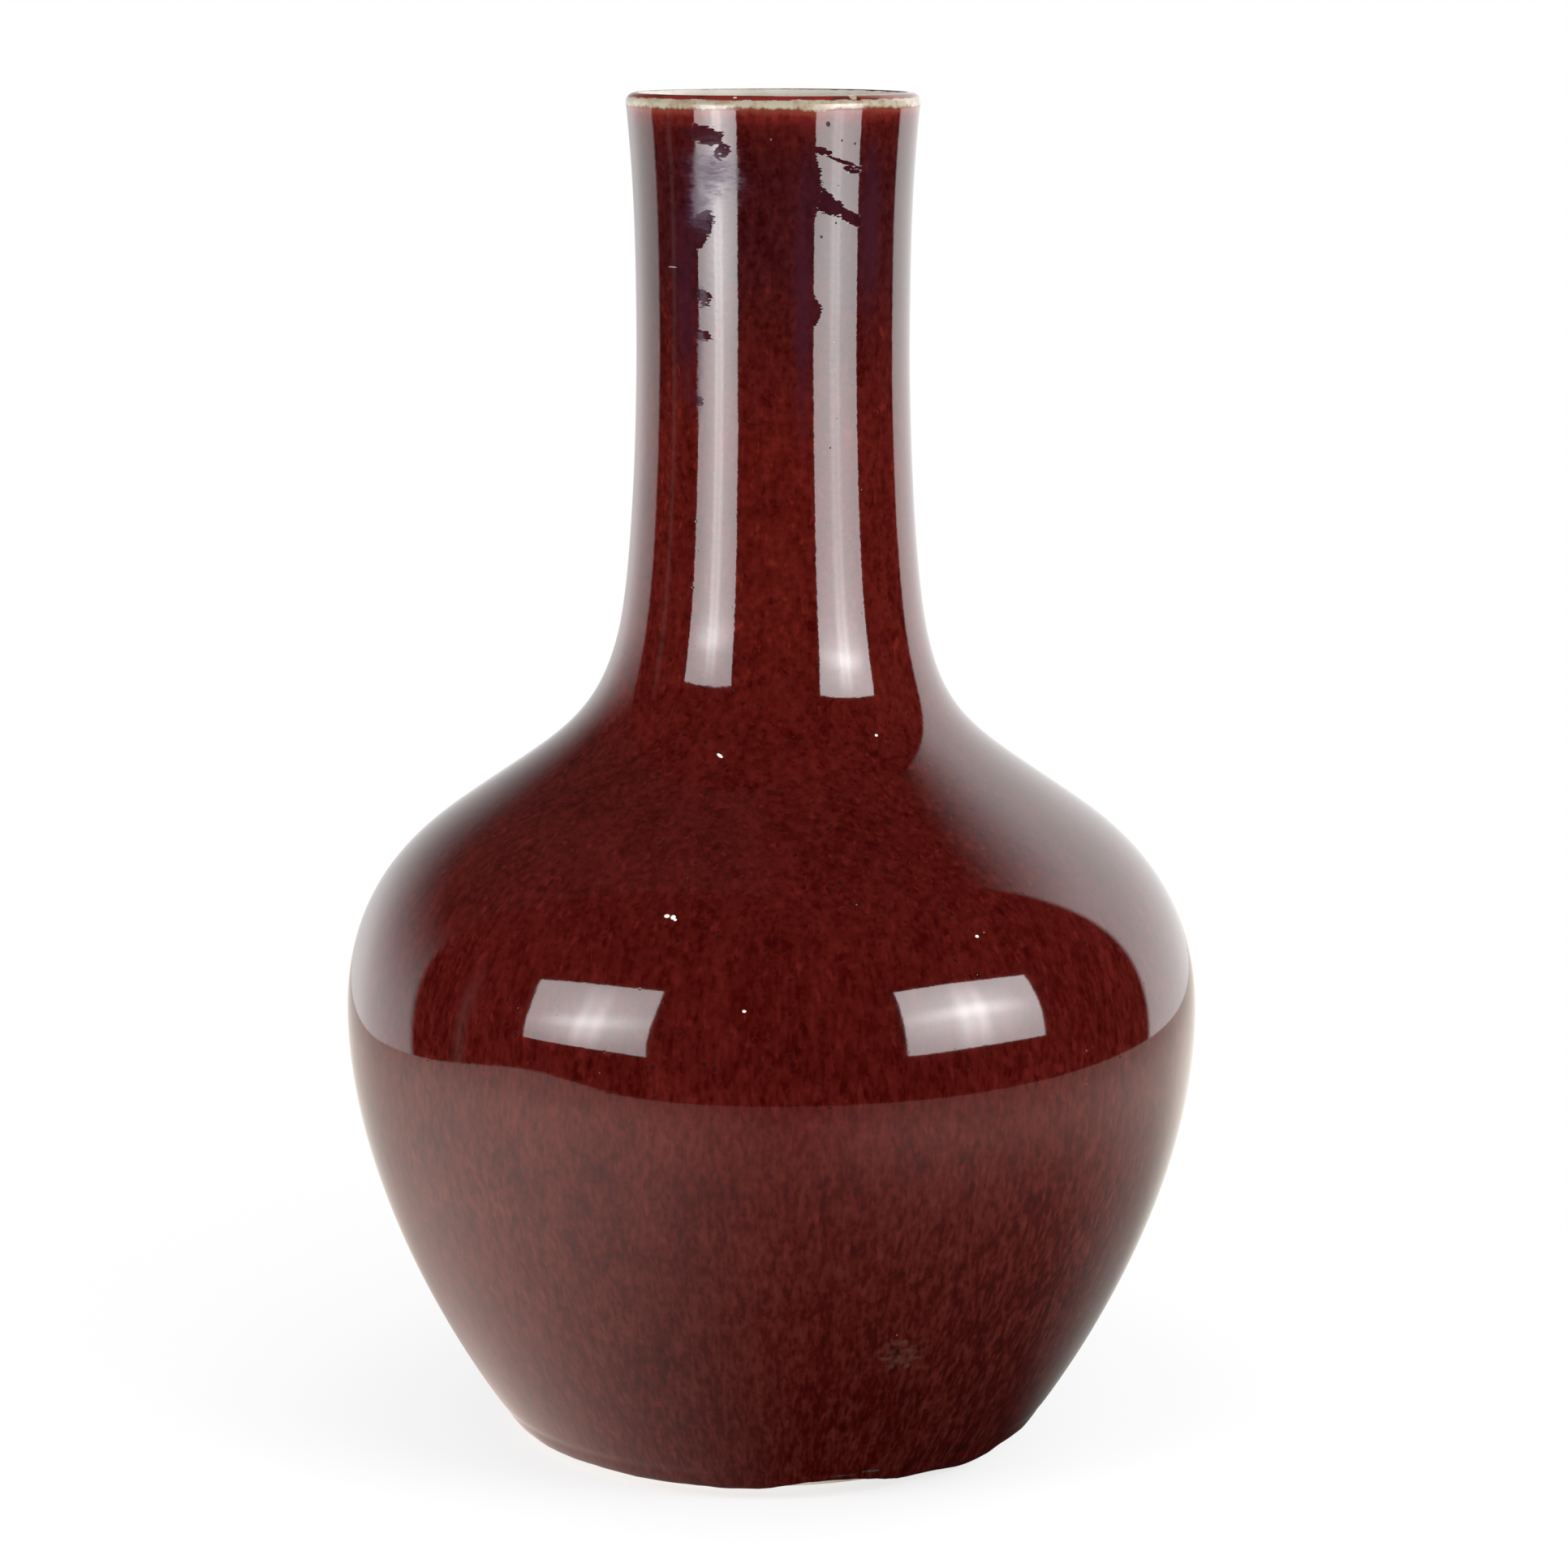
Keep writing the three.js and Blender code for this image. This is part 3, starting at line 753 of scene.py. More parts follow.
# What a bright tone adds to the green and blue, and the least that they ever have
BROWN_SHIFT, LEAST_BROWN = (0.0, 0.009, 0.0078), (0.0, 0.0006, 0.0004)
# The first colour here is the pale colour of those painted glints, and GLINT_COLOUR is that of a painted
# glint on the lip
PAINTED_GLINT, SCUFF_COLOUR, GLINT_COLOUR = (0.75, 0.70, 0.66), (0.30, 0.25, 0.20), (0.62, 0.50, 0.46)
CHIP_DARK, CHIP_PALE = (0.020, 0.018, 0.012), (0.085, 0.070, 0.045)
CRACKLE, IRON_SPECK, TURNING_LINE = (0.25, 0.20, 0.13), (0.12, 0.06, 0.03), (0.36, 0.30, 0.23)
# How far up the dull places mirror, on the left and on the right of the neck
LEFT_TILT, RIGHT_TILT = 0.25, 0.42


def new_material(name):
    material = bpy.data.materials.new(name)
    material.use_nodes = True
    tree = material.node_tree
    tree.nodes.clear()
    wiring = Wiring(tree)
    shader = wiring.add("ShaderNodeBsdfPrincipled")
    wiring.add("ShaderNodeOutputMaterial", {"Surface": shader.outputs["BSDF"]})
    position = wiring.add("ShaderNodeTexCoord").outputs["Object"]
    return material, wiring, shader, position


def bumped(w, relief, depth):
    """The normal of a surface with this relief, this deep in metres"""
    return w.first("ShaderNodeBump", {"Strength": 1.0, "Distance": depth, "Height": relief})


def dress(w, shader, colour_socket, roughness, normal):
    for label, value in (("Base Color", colour_socket), ("Roughness", roughness), ("Normal", normal)):
        w.feed(shader.inputs[label], value)


def darker(colour_value, factor):
    return tuple(part * factor for part in colour_value)


def flow_of(w, position):
    """Coordinates that follow the way the glaze ran: round the axis, and squeezed along the height"""
    x, y, height = w.split(position)
    round_it = w.vector("NORMALIZE", w.join(x, y, 0.0))
    round_it = w.vector("SCALE", round_it, w.ramp(height, 0.170, 0.235, 0.105, 0.043))
    x, y, _ = w.split(round_it)
    return w.join(x, y, w.times(height, 0.34))


def thrown_height(w, position, making):
    """The height before the mouth settled"""
    _, back, height = w.split(position)
    tilt = w.times(back, making.mouth_tilt / LIP_RADIUS)
    return w.plus(height, w.plus(tilt, making.mouth_dip))


def drained(w, finish, position, height, colour_socket, seed):
    """The colours just under the crest, where the red thins to brown and then to a pale band"""
    threads = w.noise(w.vector("MULTIPLY", position, (1.0, 1.0, 0.4)), *RUNS, seed)
    sags = w.noise(position, *SAGS, seed + 1)
    level = w.plus(height, w.plus(w.swing(threads, 2.8 * MM), w.swing(sags, 3.0 * MM)))
    patches = w.noise(position, *PATCHES, seed + 2)
    cream = w.mix(w.ramp(patches, 0.46, 0.62, 0.0, 0.75), finish.pale, finish.tan)
    reddish = w.mix(w.ramp(level, *BROWN_BAND, 0.0, 0.8), colour_socket, finish.brown)
    return w.mix(w.ramp(level, *PALE_BAND), reddish, cream)


class RedGlaze:
    """Copper red that ran down the wall; each method adds one thing that shows in it"""

    def __init__(self, finish, seed):
        self.material, w, self.shader, self.position = new_material("copper_red_glaze")
        self.w, self.finish, self.seed = w, finish, seed
        self.height = w.split(self.position)[2]
        self.angle = w.degrees(self.position)
        self.flow = flow_of(w, self.position)
        self.low = w.ramp(self.height, *LOW_BELLY)
        self.upper = w.ramp(self.height, *UPPER_NECK)
        self.grains = w.noise(self.position, *GRAINS, seed + 1)

    def inside(self, listed, ragged=0.0, soft=0.12):
        return self.w.places(self.angle, self.height, listed, ragged, soft)

    def mottled(self):
        """The reds from the foot to the lip, with a mottling that is bolder low on the right"""
        w = self.w
        stops = [(millimetres, getattr(self.finish, name)) for millimetres, name in RED_STOPS]
        colour_here = w.by_height(self.height, stops)
        threads = w.noise(self.flow, *THREADS, self.seed, 0.3)
        streaks = w.noise(self.flow, *STREAKS, self.seed + 2, 0.5)
        clouds = w.noise(self.flow, *CLOUDS, self.seed + 3)
        bolder = w.times(w.ramp(self.height, *LOWER_RIGHT), w.hump(self.angle, 50.0, 65.0))
        tone = w.plus(1.0, w.swing(clouds, w.ramp(self.height, *MIDDLE, 0.6, 1.0)))
        depths = ((threads, THREAD_DEPTHS), (self.grains, GRAIN_DEPTHS), (streaks, STREAK_DEPTHS))
        for pattern, (low_depth, high_depth, gain) in depths:
            depth = w.plus(w.ramp(self.height, *MIDDLE, low_depth, high_depth), w.times(bolder, gain))
            tone = w.plus(tone, w.swing(pattern, depth))
        tone = w.math("MAXIMUM", tone, DARKEST_TONE)
        brightness = w.times(w.minus(tone, 1.0), w.blend(self.low, 0.35, 1.0))
        brownish = w.vector("SCALE", BROWN_SHIFT, brightness)
        colour_here = w.vector("ADD", w.vector("SCALE", colour_here, tone), brownish)
        return w.vector("MAXIMUM", colour_here, LEAST_BROWN)

    def flecked(self, below_it):
        """Fresh red flecks, which are orange on the neck"""
        w = self.w
        stretched = w.vector("MULTIPLY", self.flow, (1.0, 1.0, 1.6))
        flecks = w.ramp(w.noise(stretched, *FLECKS, self.seed + 4), 0.59, 0.72)
        share = w.times(w.blend(self.upper, 0.42, 0.15), w.blend(self.low, 1.0, 0.7))
        fresh = w.mix(w.ramp(self.height, *NECK_ROOT), self.finish.bright_red, self.finish.orange)
        return w.mix(w.times(flecks, share), below_it, fresh)

    def specked(self, below_it):
        """Dark specks with a faint ring round each, and a hole in the middle"""
        w = self.w
        shake = w.add("ShaderNodeTexNoise", {"Vector": self.position, "Scale": 700.0, "Detail": 1.0})
        shaken = w.vector("ADD", self.position, w.vector("SCALE", shake.outputs["Color"], 0.0011))
        specks = w.add("ShaderNodeTexVoronoi", {"Vector": shaken, "Scale": SPECK_CELLS})
        apart = specks.outputs["Distance"]
        lot, kind, _ = w.split(specks.outputs["Color"])
        chosen = w.times(w.math("GREATER_THAN", lot, 0.52), w.blend(kind, 0.35, 1.0))
        self.holes = w.times(w.ramp(apart, 0.14, 0.04), chosen)
        dark = w.times(w.ramp(apart, 0.25, 0.10), chosen)
        ring = w.times(w.hump(apart, 0.34, 0.12), chosen)
        share = w.ramp(self.height, *LOWER_NECK, w.blend(self.low, 0.75, 0.16), 0.4)
        dotted = w.mix(w.times(dark, share), below_it, self.finish.speck)
        return w.mix(w.times(ring, 0.10), dotted, self.finish.orange)

    def starred(self, below_it):
        """Tiny red stars on the upper neck, and pale ones that are rarer lower down"""
        w = self.w
        stars = w.add("ShaderNodeTexVoronoi", {"Vector": self.position, "Scale": STAR_CELLS})
        apart, lot = stars.outputs["Distance"], w.split(stars.outputs["Color"])[0]
        rare = w.math("GREATER_THAN", lot, w.blend(self.upper, 0.93, 0.72))
        pale = w.times(w.ramp(apart, 0.065, 0.02), rare)
        red = w.times(w.ramp(apart, 0.11, 0.04), w.math("LESS_THAN", lot, 0.3))
        dotted = w.mix(w.times(red, w.times(self.upper, 0.6)), below_it, self.finish.bright_red)
        return w.mix(w.times(pale, 0.35), dotted, self.finish.pale)

    def matted_with_painted_reflection(self, below_it):
        """The dull brush-like gaps, the bluish bloom on the upper neck, and lilac painted in the matt places
        as a painted blurred reflection of the soft box
        """
        w, position = self.w, self.position
        bristle = w.noise(w.vector("MULTIPLY", position, (0.35, 0.35, 1.7)), *BRISTLE, self.seed + 6)
        curl = w.noise(position, *CURL, self.seed + 7)
        veil = w.noise(w.vector("MULTIPLY", position, (1.0, 1.0, 0.6)), *VEIL, self.seed + 9)
        self.ragged = w.plus(w.swing(bristle, 1.3), w.swing(curl, 1.1))
        hazy = self.inside(HAZY_PLACES, w.times(self.ragged, 0.7), 1.3)
        self.matt_and_painted_reflection = w.times(hazy, w.ramp(veil, 0.38, 0.60, 0.70, 1.0))
        self.dull = self.inside(DULL_PLACES, self.ragged)
        bloom = w.times(self.inside(PURPLE_PLACES, w.swing(curl, 0.6), 0.9), 0.6)
        bloom = w.math("MAXIMUM", bloom, w.times(self.dull, 0.3))
        bluish = w.mix(bloom, below_it, self.finish.purple)
        # Lilac painted over the matt places as a painted blurred reflection; the same places are also made
        # rougher
        return w.mix(self.matt_and_painted_reflection, bluish, self.finish.painted_reflection)

    def marked_and_glinted(self, below_it):
        """Pits, pale dots painted as glints where pinholes would catch the soft boxes, and the scuff low on
        the belly
        """
        w = self.w
        self.pits = self.inside(PITS)
        pitted = w.mix(self.pits, below_it, self.finish.speck)
        # Painted glints: pale dots that stand for sparkles from pinholes
        dotted = w.mix(self.inside(PAINTED_GLINTS), pitted, PAINTED_GLINT)
        scuffed = self.inside(SCUFF, w.swing(self.grains, 2.6), 1.3)
        return w.mix(w.times(scuffed, 0.13), dotted, SCUFF_COLOUR)

    def edged(self, below_it, making):
        """The drained band under the lip, the chipped line at the ground hem and the thick dark hem"""
        w = self.w
        level = thrown_height(w, self.position, making)
        banded = drained(w, self.finish, self.position, level, below_it, self.seed + 30)
        self.edge = self.inside(GROUND_EDGE, self.ragged)
        chips = w.mix(w.ramp(self.grains, 0.45, 0.62), CHIP_DARK, CHIP_PALE)
        chipped = w.mix(w.times(self.edge, 0.6), banded, chips)
        return w.mix(w.ramp(self.height, *HEM, 0.0, 0.5), chipped, self.finish.dark_red)

    def roughness(self):
        w = self.w
        rough = w.plus(w.ramp(self.dull, 0.0, 1.0, 0.045, 0.10, smooth=False), w.times(self.matt_and_painted_reflection, 0.52))
        return w.math("MAXIMUM", rough, w.times(w.math("MAXIMUM", self.pits, self.edge), 0.7))

    def normal(self):
        """Fine orange peel with holes and pits, turned up where the glaze sagged into dull places"""
        w = self.w
        peel = w.noise(self.position, *PEEL, self.seed + 8)
        skin = w.times(peel, w.ramp(self.height, *SHOULDER_TOP, 0.35, 1.0))
        relief = w.minus(skin, w.times(w.math("MAXIMUM", self.holes, self.pits), 0.9))
        turned = w.times(self.dull, w.ramp(self.angle, -5.0, 5.0, LEFT_TILT, RIGHT_TILT))
        sagging = w.vector("ADD", bumped(w, relief, 0.012 * MM), w.join(0.0, 0.0, turned))
        return w.vector("NORMALIZE", sagging)


def red_material(finish, making, seed):
    """Copper red with streaks, mottling, specks, a drained lip and matt places, with painted glints and a
    lilac painted reflection in the matt places
    """
    glaze = RedGlaze(finish, seed)
    layers = glaze.mottled()
    for add_layer in (glaze.flecked, glaze.specked, glaze.starred, glaze.matted_with_painted_reflection, glaze.marked_and_glinted):
        layers = add_layer(layers)
    dress(glaze.w, glaze.shader, glaze.edged(layers, making), glaze.roughness(), glaze.normal())
    glaze.shader.inputs["IOR"].default_value = 1.5
    return glaze.material


def lip_material(finish, making, seed):
    """Thin pale glaze with a broken dark red line along the crest"""
    material, w, shader, position = new_material("pale_lip_glaze")
    height = thrown_height(w, position, making)
    angle, radius = w.degrees(position), w.radius(position)
    layers = drained(w, finish, position, height, finish.neck_red, seed)
    cloud = w.noise(position, *LIP_CLOUDS, seed + 3)
    lining = w.mix(w.ramp(cloud, 0.35, 0.7), finish.lining, finish.worn_lining)
    layers = w.mix(w.ramp(radius, *LINING_EDGE), layers, lining)
    ragged = w.swing(w.noise(position, *LIP_EDGE, seed + 4), 1.6 * MM)
    line = w.times(w.ramp(w.plus(height, ragged), *CREST), w.ramp(w.plus(radius, ragged), *CREST_INNER))
    layers = w.mix(line, layers, finish.crest_red)
    tint = w.noise(position, *LIP_TINT, seed + 2)
    for brown in (w.ramp(tint, 0.48, 0.60, 0.0, 0.6), w.ramp(radius, *CREST_OUTER, 0.0, 0.85)):
        layers = w.mix(w.times(line, brown), layers, finish.crest_brown)
    # The notch and the chip are in the glaze; the last entry is a painted glint
    chips = ((LIP_NOTCH, finish.pale), (LIP_CHIP, finish.crest_brown), (LIP_GLINT, GLINT_COLOUR))
    for listed, shade in chips:
        layers = w.mix(w.places(angle, height, listed, soft=0.3), layers, shade)
    relief = bumped(w, w.noise(position, *LIP_PEEL, seed + 5), 0.02 * MM)
    dress(w, shader, layers, w.blend(line, 0.20, 0.10), relief)
    return material


def pale_material(name, colour_value, seed):
    """Pale glaze with faint clouds, a fine crackle and tiny iron specks"""
    material, w, shader, position = new_material(name)
    cloud = w.noise(position, *PALE_CLOUDS, seed)
    layers = w.mix(w.ramp(cloud, 0.35, 0.7), colour_value, darker(colour_value, 0.82))
    cells = {"Vector": position, "Scale": CRACKLE_CELLS}
    crackle = w.add("ShaderNodeTexVoronoi", cells, feature="DISTANCE_TO_EDGE").outputs["Distance"]
    lines = w.ramp(crackle, 0.02, 0.0)
    layers = w.mix(w.times(lines, 0.35), layers, CRACKLE)
    iron = w.ramp(w.noise(position, *IRON, seed + 1), 0.74, 0.8)
    layers = w.mix(w.times(iron, 0.7), layers, IRON_SPECK)
    dress(w, shader, layers, 0.12, bumped(w, cloud, 0.03 * MM))
    return material


def clay_material(finish, seed):
    """Bare porcelain, ground smooth at the foot, with grit and an iron blush beside the glaze"""
    material, w, shader, position = new_material("bare_porcelain")
    height, radius = w.split(position)[2], w.radius(position)
    grit = w.noise(position, *GRIT, seed)
    layers = w.mix(w.ramp(grit, 0.35, 0.7), finish.clay, darker(finish.clay, 0.8))
    rings = w.noise(w.join(w.times(radius, 900.0), w.times(height, 900.0), 0.0), 1.0, 2.0)
    layers = w.mix(w.times(w.ramp(rings, 0.5, 0.7), 0.25), layers, TURNING_LINE)
    edge = w.plus(height, w.swing(grit, 2 * MM))
    layers = w.mix(w.times(w.ramp(edge, 2.2 * MM, 5.0 * MM), 0.75), layers, finish.rust)
    relief = bumped(w, w.plus(grit, w.times(rings, 0.6)), 0.08 * MM)
    dress(w, shader, layers, w.ramp(grit, 0.3, 0.7, 0.6, 0.85), relief)
    return material


# Operators

Bench = namedtuple("Bench", "shape making finish profile turning coat")


def settings(context):
    scene = context.scene
    return scene.vase_shape, scene.vase_making, scene.vase_finish


def shared_tree(name, make):
    return bpy.data.node_groups.get(name) or make()


def bench_of(context):
    """What every piece is made from: the settings, the profile and the two geometry trees"""
    shape, making, finish = settings(context)
    turning = shared_tree("Turned Form", turning_tree)
    coat = shared_tree("Running Glaze", lambda: coat_tree(turning))
    return Bench(shape, making, finish, Profile(shape), turning, coat)


def drift_inputs(shape, making):
    return {
        "Sides": shape.sides,
        "Shoulder Drift": making.shoulder_drift,
        "Shoulder Height": (shape.belly_height + shape.neck_root_height) / 2,
        "Neck Drift": making.neck_drift,
        "Neck Height": shape.neck_root_height - 12 * MM,
        "Mouth Dip": making.mouth_dip,
        "Mouth Tilt": making.mouth_tilt,
    }


def ripple_inputs(making):
    return {"Ripple": making.ripple, "Ripple Size": making.ripple_size, "Seed": float(making.seed)}


class VASE_OT_clay(bpy.types.Operator):
    """Turn the three porcelain sections"""
    bl_idname = "vase.clay"
    bl_label = "Clay Sections"

    def execute(self, context):
        bench = bench_of(context)
        clay = clay_material(bench.finish, bench.making.seed)
        turn(bench, "porcelain_lower_bowl", bench.profile.lower_bowl(), clay, "lower_bowl", "porcelain")
        turn(bench, "porcelain_upper_bowl", bench.profile.upper_bowl(), clay, "upper_bowl", "porcelain")
        turn(bench, "porcelain_neck", bench.profile.neck(), clay, "neck", "porcelain")
        return {"FINISHED"}


class VASE_OT_seams(bpy.types.Operator):
    """Lay the two rings of slip in the joints"""
    bl_idname = "vase.seams"
    bl_label = "Slip Seams"

    def execute(self, context):
        bench = bench_of(context)
        profile = bench.profile
        slip = pale_material("joining_slip", darker(bench.finish.clay, 0.9), bench.making.seed + 20)
        turn(bench, "slip_belly_seam", profile.seam(profile.belly_joint), slip, "belly_seam", "slip")
        turn(bench, "slip_neck_seam", profile.seam(profile.neck_joint), slip, "neck_seam", "slip")
        return {"FINISHED"}


class VASE_OT_red_glaze(bpy.types.Operator):
    """Pour the copper-red coat, with its ripples, its rolled hem and the ground place at the front"""
    bl_idname = "vase.red_glaze"
    bl_label = "Red Glaze"

    def execute(self, context):
        bench = bench_of(context)
        shape, making = bench.shape, bench.making
        red = red_material(bench.finish, making, making.seed)
        running = {
            **ripple_inputs(making),
            "Wave": making.wave,
            "Wave Height": making.wave_height,
            "Ground Lift": making.ground_lift,
            "Drip": making.drip,
            "Groove": making.groove,
            "Groove Height": shape.foot_rise + 0.8 * shape.roll_radius,
            "Roll Bottom": shape.foot_rise - shape.roll_radius,
            "Roll Top": shape.foot_rise + shape.roll_radius,
        }
        turn(bench, "copper_red_coat", bench.profile.red_glaze(), red, "red_glaze", "red_glaze", running)
        return {"FINISHED"}


class VASE_OT_lip_glaze(bpy.types.Operator):
    """Glaze the lip, where the red has drained away"""
    bl_idname = "vase.lip_glaze"
    bl_label = "Lip Glaze"

    def execute(self, context):
        bench = bench_of(context)
        pale = lip_material(bench.finish, bench.making, bench.making.seed + 30)
        ripples = ripple_inputs(bench.making)
        turn(bench, "pale_lip", bench.profile.lip_glaze(), pale, "lip_glaze", "lip_glaze", ripples)
        return {"FINISHED"}


class VASE_OT_pale_glazes(bpy.types.Operator):
    """Line the inside and glaze the base"""
    bl_idname = "vase.pale_glazes"
    bl_label = "Lining and Base Glaze"

    def execute(self, context):
        bench = bench_of(context)
        lining = pale_material("pale_lining", tuple(bench.finish.lining), bench.making.seed + 40)
        base = pale_material("pale_base", tuple(bench.finish.base), bench.making.seed + 50)
        turn(bench, "pale_inner_lining", bench.profile.inner_glaze(), lining, "inner_glaze", "inner_glaze")
        turn(bench, "pale_base_glaze", bench.profile.base_glaze(), base, "base_glaze", "base_glaze")
        return {"FINISHED"}


# Stage

PHOTO_SIDE = 1932
FOCAL_PIXELS = 5179
AXIS_PIXEL_X = 951.6
CAMERA_DISTANCE = 1.230
CAMERA_HEIGHT = 0.4475
CAMERA_PITCH = 0.202
SENSOR = 36.0

# Soft boxes: the corners from the lower inner one round over the top, and the brightness
LEFT_BOX = (
    ((-0.234, -0.450, 0.184), (-0.560, -0.296, 0.198), (-0.554, -0.261, 0.461), (-0.228, -0.415, 0.450)), 7.2)
RIGHT_BOX = (
    ((0.394, -0.612, 0.226), (0.907, -0.294, 0.213), (0.887, -0.227, 0.622), (0.375, -0.546, 0.581)), 9.2)
BOX_LIGHT = (1.0, 0.97, 0.985, 1.0)
WHITE = (1.0, 1.0, 1.0)
FLOOR_COLOUR = (0.86, 0.86, 0.86, 1.0)
FLOOR_SIDES = 96
FLOOR_RADIUS, FLOOR_GAP = 0.84, 0.1 * MM
FLOOR_CUT, FLOOR_CUT_ANGLE = 0.22, math.radians(145)


def stage_material(name):
    material = bpy.data.materials.new(name)
    material.use_nodes = True
    material.node_tree.nodes.clear()
    return material, Wiring(material.node_tree)


def stage_mesh(name, corners, material):
    """An object of one flat face that belongs to the stage"""
    mesh = bpy.data.meshes.new(name)
    mesh.from_pydata(corners, [], [tuple(range(len(corners)))])
    mesh.materials.append(material)
    flat = bpy.data.objects.new(name, mesh)
    bpy.context.scene.collection.objects.link(flat)
    return flat


def box_light(name, brightness):
    """Light that is brighter in the middle of a soft box and along the cross of its frame"""
    material, w = stage_material(name)
    across, up, _ = w.split(w.add("ShaderNodeTexCoord").outputs["UV"])
    middle = w.times(w.hump(across, 0.42, 0.55), w.hump(up, 0.45, 0.6))
    upright = w.plus(w.hump(across, 0.35, 0.09), w.hump(across, 0.46, 0.09))
    cross = w.times(w.plus(upright, w.hump(up, 0.5, 0.16)), w.plus(middle, 0.1))
    extra = w.plus(w.times(middle, 0.55), w.times(cross, 0.50))
    strength = w.times(w.plus(extra, w.ramp(up, 0.05, 0.45, 0.72, 0.92)), brightness)
    light = w.first("ShaderNodeEmission", {"Color": BOX_LIGHT, "Strength": strength})
    w.add("ShaderNodeOutputMaterial", {"Surface": light})
    return material


def soft_box(name, corners, brightness):
    box = stage_mesh(name, corners, box_light(name + "_light", brightness))
    layer = box.data.uv_layers.new(name="UVMap")
    for loop, uv in zip(layer.data, ((0, 0), (1, 0), (1, 1), (0, 1))):
        loop.uv = uv
    box.visible_camera = False


def mirrored_or_plain(w, rays, mirrored, plain, tint):
    """What glossy and transmission rays see, with its tint, and the plain light for all others"""
    mirroring = w.math("MAXIMUM", rays["Is Glossy Ray"], rays["Is Transmission Ray"])
    strength = w.plus(w.times(mirroring, mirrored), w.times(w.minus(1.0, mirroring), plain))
    return {"Strength": strength, "Color": w.mix(mirroring, WHITE, tint)}


def floor_glow(w, away, angle):
    """How bright the glaze mirrors the floor: at the left, in front further off, at the right and behind"""
    left = w.times(w.ramp(angle, 10, -68), w.ramp(away, 0.056, 0.222, 0.66, 1.02, smooth=False))
    left = w.times(left, w.ramp(angle, -75, -120, 1.08, 0.6))
    front = w.ramp(away, 0.043, 0.391, 0.0, 0.31)
    right = w.times(w.ramp(angle, 0, 40), w.ramp(away, 0.20, 0.44, 0.0, 0.35))
    behind = w.plus(w.ramp(angle, 60, 112, 0.0, 0.35), w.ramp(angle, 108, 135, 0.0, 0.30))
    glow = w.plus(w.plus(left, front), w.plus(right, behind))
    return w.times(glow, w.ramp(away, 0.45, 0.80, 1.0, 0.74))


def floor_plain(w, away, angle):
    """The floor's plain light, shaded at the right and bright at the left, most so near the vase"""
    shaded, bright = w.ramp(away, 0.12, 0.35, 0.50, 0.72), w.ramp(away, 0.12, 0.35, 2.6, 2.0)
    return w.plus(w.ramp(angle, 45, -60, shaded, bright), w.times(w.hump(angle, 95, 55), 0.6))


def floor_tint(w, away, angle, glow):
    """The tint of the mirrored floor, ruddy in front further off and near the vase at the left"""
    in_front = w.ramp(w.math("ABSOLUTE", angle), 45, 110, 1.0, 0.1)
    ruddy = w.times(w.ramp(away, 0.20, 0.45, 0.0, 0.38), in_front)
    ruddy = w.math("DIVIDE", ruddy, w.math("MAXIMUM", glow, 0.1))
    blush = w.times(w.ramp(away, 0.35, 0.12, 0.0, 0.16), w.ramp(angle, 0, -40))
    return w.join(w.plus(w.plus(1.08, ruddy), blush), 1.06, 0.97)


def floor_material():
    """Plain pale floor that keeps the shadow near the vase and is white further off"""
    material, w = stage_material("pale_floor")
    rays = w.add("ShaderNodeLightPath").outputs
    position = w.add("ShaderNodeTexCoord").outputs["Object"]
    away, angle = w.radius(position), w.degrees(position)
    lit = w.first("ShaderNodeBsdfDiffuse", {"Color": FLOOR_COLOUR})
    white = w.first("ShaderNodeEmission", {"Strength": 1.0})
    seen = w.first("ShaderNodeMixShader", {0: w.ramp(away, 0.10, 0.34, 0.72, 1.0), 1: lit, 2: white})
    glow = floor_glow(w, away, angle)
    plain, tint = floor_plain(w, away, angle), floor_tint(w, away, angle, glow)
    other = w.first("ShaderNodeEmission", mirrored_or_plain(w, rays, glow, plain, tint))
    final = w.first("ShaderNodeMixShader", {0: rays["Is Camera Ray"], 1: other, 2: seen})
    w.add("ShaderNodeOutputMaterial", {"Surface": final})
    return material


def room_walls(w, turn_round, height):
    """How bright the glaze mirrors the room: two walls behind at the sides, and a strip at the left"""
    right = w.times(w.ramp(turn_round, 118.0, 120.5), w.ramp(turn_round, 125, 170, 2.35, 1.1, smooth=False))
    right = w.times(right, w.ramp(height, 56, 28))
    left = w.times(w.ramp(turn_round, -109.0, -112.5), w.ramp(turn_round, -142, -170, 1.0, 0.52))
    left = w.times(left, w.ramp(height, 28, -8, 0.03, 1.65))
    strip = w.times(w.hump(turn_round, -91, 4), w.ramp(height, 30, 10, 0.0, 0.22))
    return w.plus(w.plus(left, right), w.plus(strip, 0.03))


def studio_world():
    """White to the camera; round the vase, bright walls behind and at both sides and a dark room in front"""
    world = bpy.data.worlds.new("studio")
    world.use_nodes = True
    world.node_tree.nodes.clear()
    w = Wiring(world.node_tree)
    rays = w.add("ShaderNodeLightPath").outputs
    direction = w.add("ShaderNodeTexCoord").outputs["Generated"]
    height = w.times(w.math("ARCSINE", w.split(direction)[2]), 180 / math.pi)
    turn_round = w.degrees(direction)
    walls = room_walls(w, turn_round, height)
    sides = w.plus(w.hump(turn_round, -95, 60), w.hump(turn_round, 95, 60))
    plain = w.plus(w.plus(walls, w.ramp(height, 35, 70, 0.0, 0.8)), w.times(sides, 1.1))
    other = w.first("ShaderNodeBackground", mirrored_or_plain(w, rays, walls, plain, WHITE))
    white = w.first("ShaderNodeBackground", {"Strength": 1.0, "Color": full(WHITE)})
    final = w.first("ShaderNodeMixShader", {0: rays["Is Camera Ray"], 1: other, 2: white})
    w.add("ShaderNodeOutputWorld", {"Surface": final})
    return world


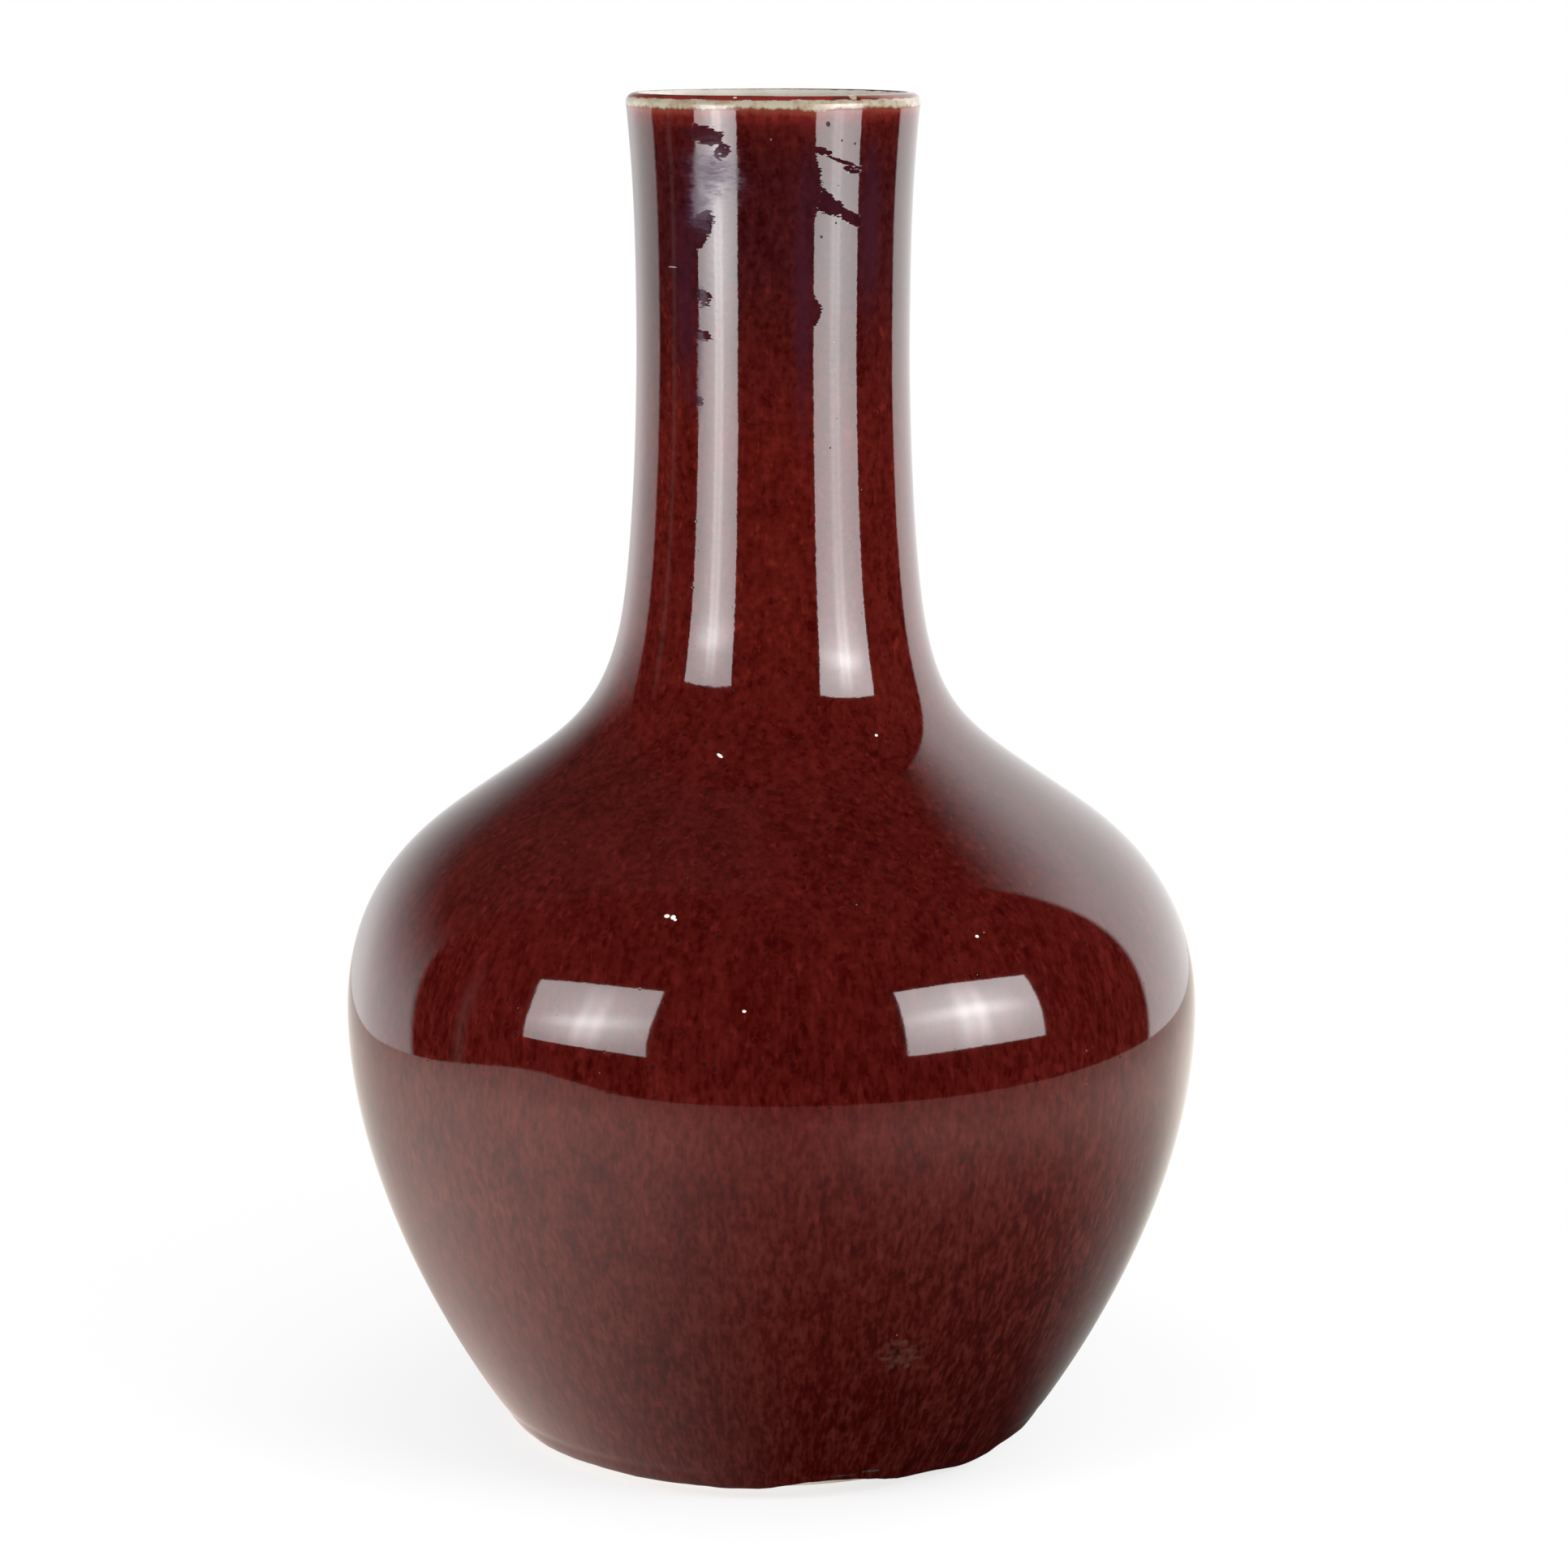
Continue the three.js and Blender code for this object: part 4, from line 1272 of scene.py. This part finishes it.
def make_floor():
    """A round floor, cut back a little behind at the left"""
    corners = []
    for side in range(FLOOR_SIDES):
        turned = 2 * math.pi * side / FLOOR_SIDES
        out = FLOOR_RADIUS - FLOOR_CUT * max(0.0, math.cos(turned - FLOOR_CUT_ANGLE)) ** 4
        corners.append((out * math.cos(turned), out * math.sin(turned), -FLOOR_GAP))
    stage_mesh("studio_floor", corners, floor_material())


def make_camera():
    data = bpy.data.cameras.new("camera")
    data.sensor_width = SENSOR
    data.lens = FOCAL_PIXELS * SENSOR / PHOTO_SIDE
    data.shift_x = (PHOTO_SIDE / 2 - AXIS_PIXEL_X) / PHOTO_SIDE
    camera = bpy.data.objects.new("camera", data)
    camera.location = (0.0, -CAMERA_DISTANCE, CAMERA_HEIGHT)
    camera.rotation_euler = (math.pi / 2 - CAMERA_PITCH, 0.0, 0.0)
    bpy.context.scene.collection.objects.link(camera)
    bpy.context.scene.camera = camera


class VASE_OT_stage(bpy.types.Operator):
    """Set up the floor, the soft boxes, the studio round the vase and the camera"""
    bl_idname = "vase.stage"
    bl_label = "Stage"

    def execute(self, context):
        context.scene.view_settings.view_transform = "Standard"
        context.scene.world = studio_world()
        soft_box("left_soft_box", *LEFT_BOX)
        soft_box("right_soft_box", *RIGHT_BOX)
        make_floor()
        make_camera()
        return {"FINISHED"}


class VASE_PT_sidebar(bpy.types.Panel):
    """Lists the pieces of the vase and their sizes"""
    bl_idname = "VASE_PT_sidebar"
    bl_label = "Globe Vase"
    bl_space_type = "VIEW_3D"
    bl_region_type = "UI"
    bl_category = "Vase"

    def draw(self, context):
        for operator in OPERATORS:
            self.layout.operator(operator.bl_idname)
        for group in settings(context):
            box = self.layout.box()
            for name in group.__annotations__:
                box.prop(group, name)


OPERATORS = (
    VASE_OT_stage, VASE_OT_clay, VASE_OT_seams, VASE_OT_red_glaze, VASE_OT_lip_glaze, VASE_OT_pale_glazes)
CLASSES = (VaseShape, VaseMaking, VaseFinish, *OPERATORS, VASE_PT_sidebar)


def register():
    for cls in CLASSES:
        bpy.utils.register_class(cls)
    bpy.types.Scene.vase_shape = PointerProperty(type=VaseShape)
    bpy.types.Scene.vase_making = PointerProperty(type=VaseMaking)
    bpy.types.Scene.vase_finish = PointerProperty(type=VaseFinish)


def unregister():
    del bpy.types.Scene.vase_finish
    del bpy.types.Scene.vase_making
    del bpy.types.Scene.vase_shape
    for cls in reversed(CLASSES):
        bpy.utils.unregister_class(cls)


def main():
    register()
    bpy.ops.vase.stage()
    bpy.ops.vase.clay()
    bpy.ops.vase.seams()
    bpy.ops.vase.red_glaze()
    bpy.ops.vase.lip_glaze()
    bpy.ops.vase.pale_glazes()


if __name__ == "__main__":
    main()
